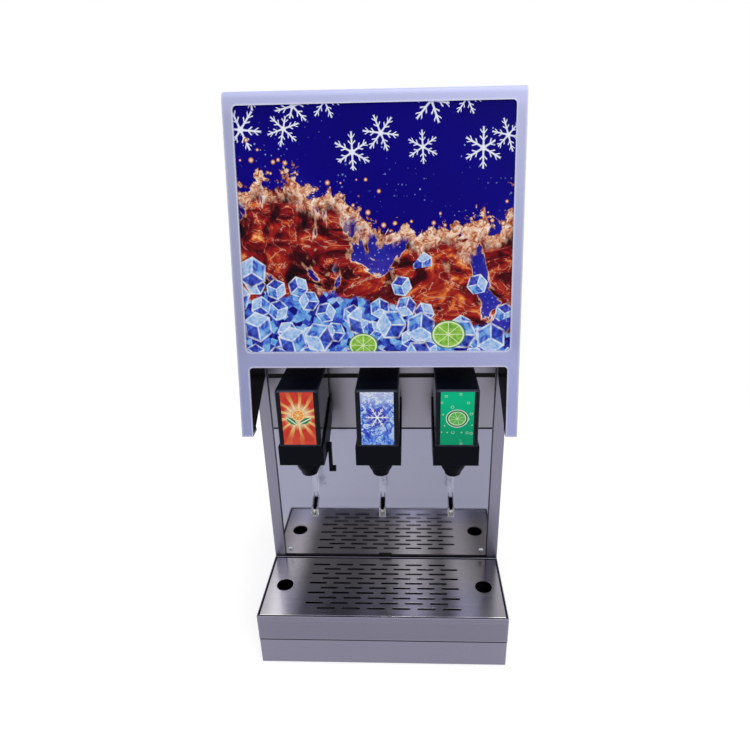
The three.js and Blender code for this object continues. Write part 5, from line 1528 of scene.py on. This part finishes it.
@dataclass
class Cabinet:
    """The steel shell with its panels, lid and splash screws."""

    screw_head: float = 4.5
    screw_height: float = 2.4
    screw_length: float = 8.0
    screw_shank: float = 2.0
    recess: tuple[float, float, float, float] = (0.75, 2.5, 0.25, 1.5)
    screw_gap: float = 0.3
    seal_reach: float = 180.0
    seal_half: float = 4.0
    seal_behind: float = 5.0
    screw_place: tuple[float, float] = (171.0, 113.0)
    panel_front: float = -103.0
    panel_rear: float = 228.0
    rear_screws: tuple[tuple[float, ...], ...] = ((-190.0, 190.0), (40.0, 300.0, 560.0, 820.0))
    joints: tuple[tuple[str, float, float], ...] = (("upper", 451.75, 2.6), ("lower", 358.0, 0.9))

    def build(self) -> None:
        """Builds the shell from the sides inwards."""
        for side in ("left", "right"):
            refined(f"{side}_side_panel", SIDE_STEEL, 0.6, cuts=(118.0,))
        refine_all(("rear_panel", ZINC, 0.4, 2), ("upper_front_panel", PANEL_STEEL, 0.5, 2),
                   ("valve_panel", PANEL_STEEL, 0.5, 2), ("lower_splash_panel", MIRROR_STEEL, 0.5, 2),
                   ("top_lid", LID_STEEL, 0.8, 3))
        # Black seals in the panel joints, which also stand in for the joints' shade.
        for place, level, half in self.joints:
            self.seal(f"{place}_joint_seal_and_shade", level, half)
        for side, sign in (("left", -1), ("right", 1)):
            place = (sign * self.screw_place[0], self.panel_front - self.screw_gap, self.screw_place[1])
            self.screw(f"splash_screw_{side}_turned", place, -1.0, f"splash_screw_{side}")
        across, up = self.rear_screws
        for i, x in enumerate(across):
            for j, z in enumerate(up):
                self.screw(f"rear_screw_{i + 1}_{j + 1}", (x, self.panel_rear + self.screw_gap, z), 1.0)

    def seal(self, name: str, level: float, half: float) -> None:
        """Lays a black rubber strip in the joint between two front panels; its black also stands in for the
        shade in the joint.

        Args:
            name: The strip's name.
            level: The joint's height in millimetres.
            half: Half the strip's height in millimetres.
        """
        deep = self.panel_front + self.seal_behind
        path = np.linspace((-self.seal_reach, deep, level), (self.seal_reach, deep, level), 9)
        section = bar(self.seal_half, half, half / 3)
        settle(swept(name, section, path, np.array([0.0, 1.0, 0.0])), RUBBER, "cabinet")

    def screw(self, name: str, place: Sequence[float], facing: float, *stands_for: str) -> None:
        """Makes a domed screw with a cross recess, on a grid of radius and angle.

        The head's depth is height (1 - (r / head) squared) to the power 0.6, less the recess: its depth
        where |p| < its half width and |q| < its half length, or the other way round, with eased walls.

        Args:
            name: The screw's name.
            place: The middle of its head's foot in millimetres.
            facing: 1 where its head looks to the rear, -1 where it looks to the front.
            stands_for: The CAD node that it replaces.
        """
        share = np.linspace(0.0, 1.0, 40)[:, None]
        angle = np.linspace(0.0, 2 * np.pi, 96, endpoint=False)[None, :]
        p, q = (self.screw_head * share * wave(angle) for wave in (np.cos, np.sin))
        dome = self.screw_height * np.clip(1 - share ** 2, 0, 1) ** 0.6 * np.ones_like(angle)
        half, reach, ease, depth = self.recess
        arms = [np.maximum(np.abs(a) - half, np.abs(b) - reach) for a, b in ((p, q), (q, p))]
        dome = dome - depth * np.clip(0.5 - np.minimum(*arms) / ease, 0, 1) * np.clip(dome, 0, 1)
        head = np.stack([p, facing * dome, q], axis=-1)
        radii = np.array([self.screw_head, self.screw_shank, self.screw_shank, 0.0])[:, None]
        depths = np.array([self.screw_gap, self.screw_gap, self.screw_length, self.screw_length])[:, None]
        sunk = -facing * depths * np.ones_like(angle)
        stem = np.stack([radii * np.cos(angle), sunk, radii * np.sin(angle)], axis=-1)
        points = (np.vstack([head, stem]) + np.array(place)) * MM
        settle(surface(name, points, math.radians(40)), BRIGHT_ZINC, "cabinet", *stands_for)


@dataclass
class Head:
    """The leaning fascia, its inner cheeks, the picture and the light behind it."""

    edge: float = 1.1
    crown: BroadRound = BroadRound(1.6, (-201, -118.5, 852), (201, -108, 861), 6)

    def build(self) -> None:
        """Builds the head from the outside in."""
        refined("fascia_frame", LAVENDER, self.edge, 4, self.crown)
        refine_all(("left_cheek", MATT_BLACK, 0.4, 2), ("right_cheek", MATT_BLACK, 0.4, 2),
                   ("poster_panel", PICTURE, 0.3, 2), ("light_panel", WHITE_PLASTIC, 0.4, 2))


@dataclass
class Valve:
    """One mixing valve: body, cover, card, nozzle, lever and pin."""

    name: str
    x: float
    flavour: Flavour
    nozzle_y: float = -164.0
    seat: float = 356.7
    height: float = 45.0

    def build(self) -> None:
        """Builds the valve from the panel forwards."""
        rails = BroadRound(1.9, (self.x - 31, -219, 386), (self.x + 31, -117, 478), 5)
        card = NameCard(f"card_{self.name}", self.slot, self.flavour, self.x * MM)
        clear = ClearPlastic(f"clear_lever_{self.name}", "clear_plastic", centre=self.x * MM)
        refine_all((f"mounting_block_{self.name}", MATT_BLACK, 0.6, 2),
                   (f"valve_body_{self.name}", MATT_BLACK, 0.9, 3),
                   (f"valve_cover_{self.name}", GLOSS_BLACK, 0.5, 3, rails),
                   (f"name_card_{self.name}", card, 0.25, 2),
                   (f"lever_{self.name}", clear, 0.7, 3),
                   (f"lever_pin_{self.name}", BRIGHT_ZINC, 0.3, 2))
        self.nozzle()

    @property
    def slot(self) -> str:
        """The record's slot of the card."""
        return {"left": "card_red", "middle": "card_blue", "right": "card_green"}[self.name]

    def nozzle(self) -> None:
        """Turns the nozzle: a barrel that draws in to a tapered cup with a rolled lip and a bore."""
        seat, low = self.seat, self.seat - self.height
        outer = rounded([(9, low), (9.6, low), (12.6, low), (13.3, low + 5), (16.6, low + 10), (20, low + 17),
                         (20, seat), (15, seat), (15, seat + 7), (11, seat + 7)],
                        [0.3, 2.8, 3, 4, 4, 0.8, 0.4, 0.8], 6)
        inner = rounded([(11, seat + 7), (9, seat - 14), (9, low)], 4.0, 4)[1:]
        centre = (self.x, self.nozzle_y, 0.0)
        nozzle = turned(f"nozzle_{self.name}_turned", np.vstack([outer, inner]), centre, 72)
        settle(nozzle, MATT_BLACK, f"spout_{self.name}", f"nozzle_{self.name}")


@dataclass
class RearServices:
    """Hose barbs, the power inlet with its three pins, and the rocker with its marks."""

    inlet: tuple[float, float, float] = (-130.0, 230.3, 80.0)
    rocker: tuple[float, float, float] = (-130.0, 224.3, 95.0)
    lean: float = math.radians(8)
    crest: float = 4.5
    mark: float = 1.7
    mark_height: float = 5.2
    mark_line: float = 0.3

    def build(self) -> None:
        """Builds what is on the rear."""
        refine_all(("inlet_manifold", BRIGHT_ZINC, 0.3, 2), ("power_inlet", MATT_BLACK, 0.5, 2),
                   ("power_switch", GLOSS_BLACK, 0.5, 3))
        for i, (x, z) in enumerate(((-6.0, -19.5), (0.0, -15.5), (6.0, -19.5))):
            self.pin(f"inlet_pin_{i + 1}", x, z)
        self.marks()

    def pin(self, name: str, x: float, z: float) -> None:
        """One flat contact with a rounded tip, standing on the socket's floor.

        Args:
            name: The contact's name.
            x: Its place across from the inlet's middle, in millimetres.
            z: Its height from the inlet's middle, in millimetres.
        """
        path = np.array(self.inlet) + [(x, -depth, z) for depth in (17.2, 5, 4, 3.4, 3.2)]
        pin = swept(name, bar(1, 2, 0.4), path, np.array([1.0, 0, 0]), np.array([1, 1, 0.92, 0.75, 0.55]))
        settle(pin, BRIGHT_ZINC, "cabinet")

    def marks(self) -> None:
        """A bar and a circle, printed on the rocker's two faces."""
        turn = ring(self.mark, 32)
        circle = np.vstack([turn, turn[:1]])
        line = np.linspace((0.0, -self.mark), (0.0, self.mark), 9)
        for name, z, flat in (("rocker_mark_on", self.mark_height, line),
                              ("rocker_mark_off", -self.mark_height, circle)):
            path = self.on_face(flat[:, 0], z + flat[:, 1])
            mark = swept(name, ring(self.mark_line, 8), path, np.array([0.0, 1.0, 0.0]))
            settle(mark, WHITE_PLASTIC, "rocker")

    def on_face(self, x: np.ndarray, z: np.ndarray) -> np.ndarray:
        """Points on the rocker's face: crest plus |z| tan(lean) out, then turned back by the lean.

        Args:
            x: The points' places across, in millimetres.
            z: Their heights over the rocker's middle, in millimetres.

        Returns:
            The points, one row each.
        """
        out = self.crest + np.abs(z) * math.tan(self.lean)
        c, s = math.cos(self.lean), math.sin(self.lean)
        return np.array(self.rocker) + np.stack([x, out * c + z * s, z * c - out * s], axis=1)


@dataclass
class Cooling:
    """What is inside: the cold bath and its coil, the refrigeration set, the pump and the control box."""

    coil_radius: float = 100.0
    coil_pitch: float = 29.96
    coil_turns: int = 7
    coil_tail: float = 0.7
    coil_foot: float = 432.4
    coil_centre: float = 58.0
    tube: float = 5.0

    def build(self) -> None:
        """Builds the cold side first, then the warm side."""
        refine_all(("tank_shelf", ZINC, 0.4, 2), ("tank_insulation", FOAM, 2.0, 3),
                   ("water_bath_tank", BATH_STEEL, 0.5, 2), ("carbonator_tank", VESSEL_STEEL, 1.0, 2),
                   ("agitator_motor", BLACK_STEEL, 0.8, 2), ("agitator_impeller", WHITE_PLASTIC, 0.4, 2))
        self.coil()
        refine_all(("compressor", BLACK_STEEL, 0.8, 2), ("condenser", ALUMINIUM, 0.25, 1),
                   ("fan_shroud", BLACK_STEEL, 0.4, 2), ("fan_blade", ALUMINIUM, 0.4, 2),
                   ("carbonator_pump", BRIGHT_ZINC, 0.8, 2), ("control_box", ZINC, 0.7, 2))

    def coil(self) -> None:
        """Sweeps the evaporator tube: a rising circle for its turns, then straight on along its tangent."""
        wound = self.coil_turns * 2 * np.pi
        along = np.linspace(0.0, wound + self.coil_tail, 48 * self.coil_turns)
        angle = np.minimum(along, wound)
        straight = (along - angle) * self.coil_radius
        x = self.coil_radius * np.cos(angle) - straight * np.sin(angle)
        y = self.coil_centre + self.coil_radius * np.sin(angle) + straight * np.cos(angle)
        path = np.stack([x, y, self.coil_foot + self.coil_pitch * along / (2 * np.pi)], axis=1)
        tube = swept("evaporator_tube", ring(self.tube, 16), path, np.array([0.0, 0.0, 1.0]))
        settle(tube, COPPER, "cabinet", "evaporator_coil")


@dataclass
class Studio:
    """The camera at the photograph's angle, soft lamps, a pale floor and a white world."""

    eye: tuple[float, float, float] = (49.0, -963.3, 809.7)
    yaw: float = math.radians(-2.6)
    pitch: float = math.radians(22.6)
    roll: float = math.radians(-1.21)
    lens: float = 28.35
    sensor: float = 36.0
    clip: tuple[float, float] = (0.01, 100.0)
    shift: tuple[float, float] = (-0.0161, 0.001)
    ambient: float = 0.6
    glow: float = 0.62
    floor_half: float = 40.0
    floor_tones: tuple[float, float] = (0.6, 0.64)
    fade: tuple[float, float] = (0.5, 1.5)
    aim: tuple[float, float, float] = (0.0, -0.1, 0.45)
    lamps: tuple[tuple[str, tuple[float, float, float], float, float], ...] = (
        ("key_lamp", (0.95, -1.5, 1.65), 1.3, 8.0),
        ("fill_lamp", (-1.3, -1.2, 1.1), 1.2, 3.5),
        ("back_lamp", (0.3, 1.6, 1.5), 1.3, 6.0),
        ("top_lamp", (0.1, -0.3, 2.3), 0.45, 3.5),
    )

    def camera(self) -> None:
        """Sets the camera: forward from yaw and pitch, then right and up turned by the roll."""
        cy, sy, cp, sp = math.cos(self.yaw), math.sin(self.yaw), math.cos(self.pitch), math.sin(self.pitch)
        forward, right = Vector((sy * cp, cy * cp, -sp)), Vector((cy, -sy, 0.0))
        up = right.cross(forward)
        cr, sr = math.cos(self.roll), math.sin(self.roll)
        across, over = right * cr + up * sr, up * cr - right * sr
        data = bpy.data.cameras.new("photo_camera")
        data.sensor_width, data.lens = self.sensor, self.lens
        data.shift_x, data.shift_y = self.shift
        data.clip_start, data.clip_end = self.clip
        camera = linked("photo_camera", data)
        turn = Matrix((across, over, -forward)).transposed().to_4x4()
        camera.matrix_world = Matrix.Translation(Vector(self.eye) * MM) @ turn
        bpy.context.scene.camera = camera

    def light(self) -> None:
        """Hangs the lamps, each a square that looks at the machine's middle."""
        for name, place, size, power in self.lamps:
            data = bpy.data.lights.new(name, "AREA")
            data.size, data.energy = size, power
            lamp = linked(name, data)
            lamp.location = place
            lamp.rotation_euler = (Vector(self.aim) - Vector(place)).to_track_quat("-Z", "Y").to_euler()

    def seen(self, g: Graph) -> Wire:
        """One for a ray from the camera, a reflection or glass, and zero for a ray that only lights."""
        path = g.add("LightPath")
        return g.either(*(g.out(path, f"Is {kind} Ray") for kind in ("Camera", "Glossy", "Transmission")))

    def world(self) -> None:
        """A world that is white to look at and gives a plain soft light."""
        world = bpy.data.worlds.new("studio_world")
        bpy.context.scene.world = world
        g = blank(world)
        strength = g.step(self.seen(g), 0.0, 1.0, self.ambient, 1.0)
        back = g.add("Background", {"Color": (1.0, 1.0, 1.0), "Strength": strength})
        g.add("OutputWorld", {"Surface": g.out(back)})

    def floor(self) -> None:
        """A wide pale floor that keeps the machine's shadow and fades to the white world."""
        far_side = self.floor_half
        corners = [(x * far_side, y * far_side, 0) for x, y in ((-1, -1), (1, -1), (1, 1), (-1, 1))]
        mesh = bpy.data.meshes.new("studio_floor")
        mesh.from_pydata(corners, [], [(0, 1, 2, 3)])
        material = bpy.data.materials.new("pale_floor")
        mesh.materials.append(material)
        g = blank(material)
        seen = self.seen(g)
        white = (1.0, 1.0, 1.0)
        pale = g.mix(g.noise(g.place(), 40.0), *(toned(white, level) for level in self.floor_tones))
        cloth = g.out(g.add("BsdfDiffuse", {"Color": pale}))
        glow = g.out(g.add("Emission", {"Color": white, "Strength": seen * self.glow}))
        near = g.out(g.add("AddShader", {0: cloth, 1: glow}))
        bright = g.step(seen, 0.0, 1.0, self.ambient, 1.0)
        far = g.out(g.add("Emission", {"Color": white, "Strength": bright}))
        share = g.step(g.length(g.place()), *self.fade)
        g.add("OutputMaterial", {"Surface": g.out(g.add("MixShader", {0: share, 1: near, 2: far}))})
        linked("studio_floor", mesh)

    def set_view(self) -> None:
        """Uses the plain view transform."""
        bpy.context.scene.view_settings.view_transform = "Standard"


def main() -> None:
    """Builds the studio and the machine."""
    studio = Studio()
    studio.camera()
    studio.set_view()
    Base().build()
    Cabinet().build()
    Head().build()
    for name, x, flavour in (("left", -112.4, Flavour.CITRUS), ("middle", 0.0, Flavour.ICE),
                             ("right", 112.4, Flavour.LIME)):
        Valve(name, x, flavour).build()
    refined("shutoff_lever_left", MATT_BLACK, 0.6)
    RearServices().build()
    Cooling().build()
    studio.light()
    studio.world()
    studio.floor()


if __name__ == "__main__":
    main()
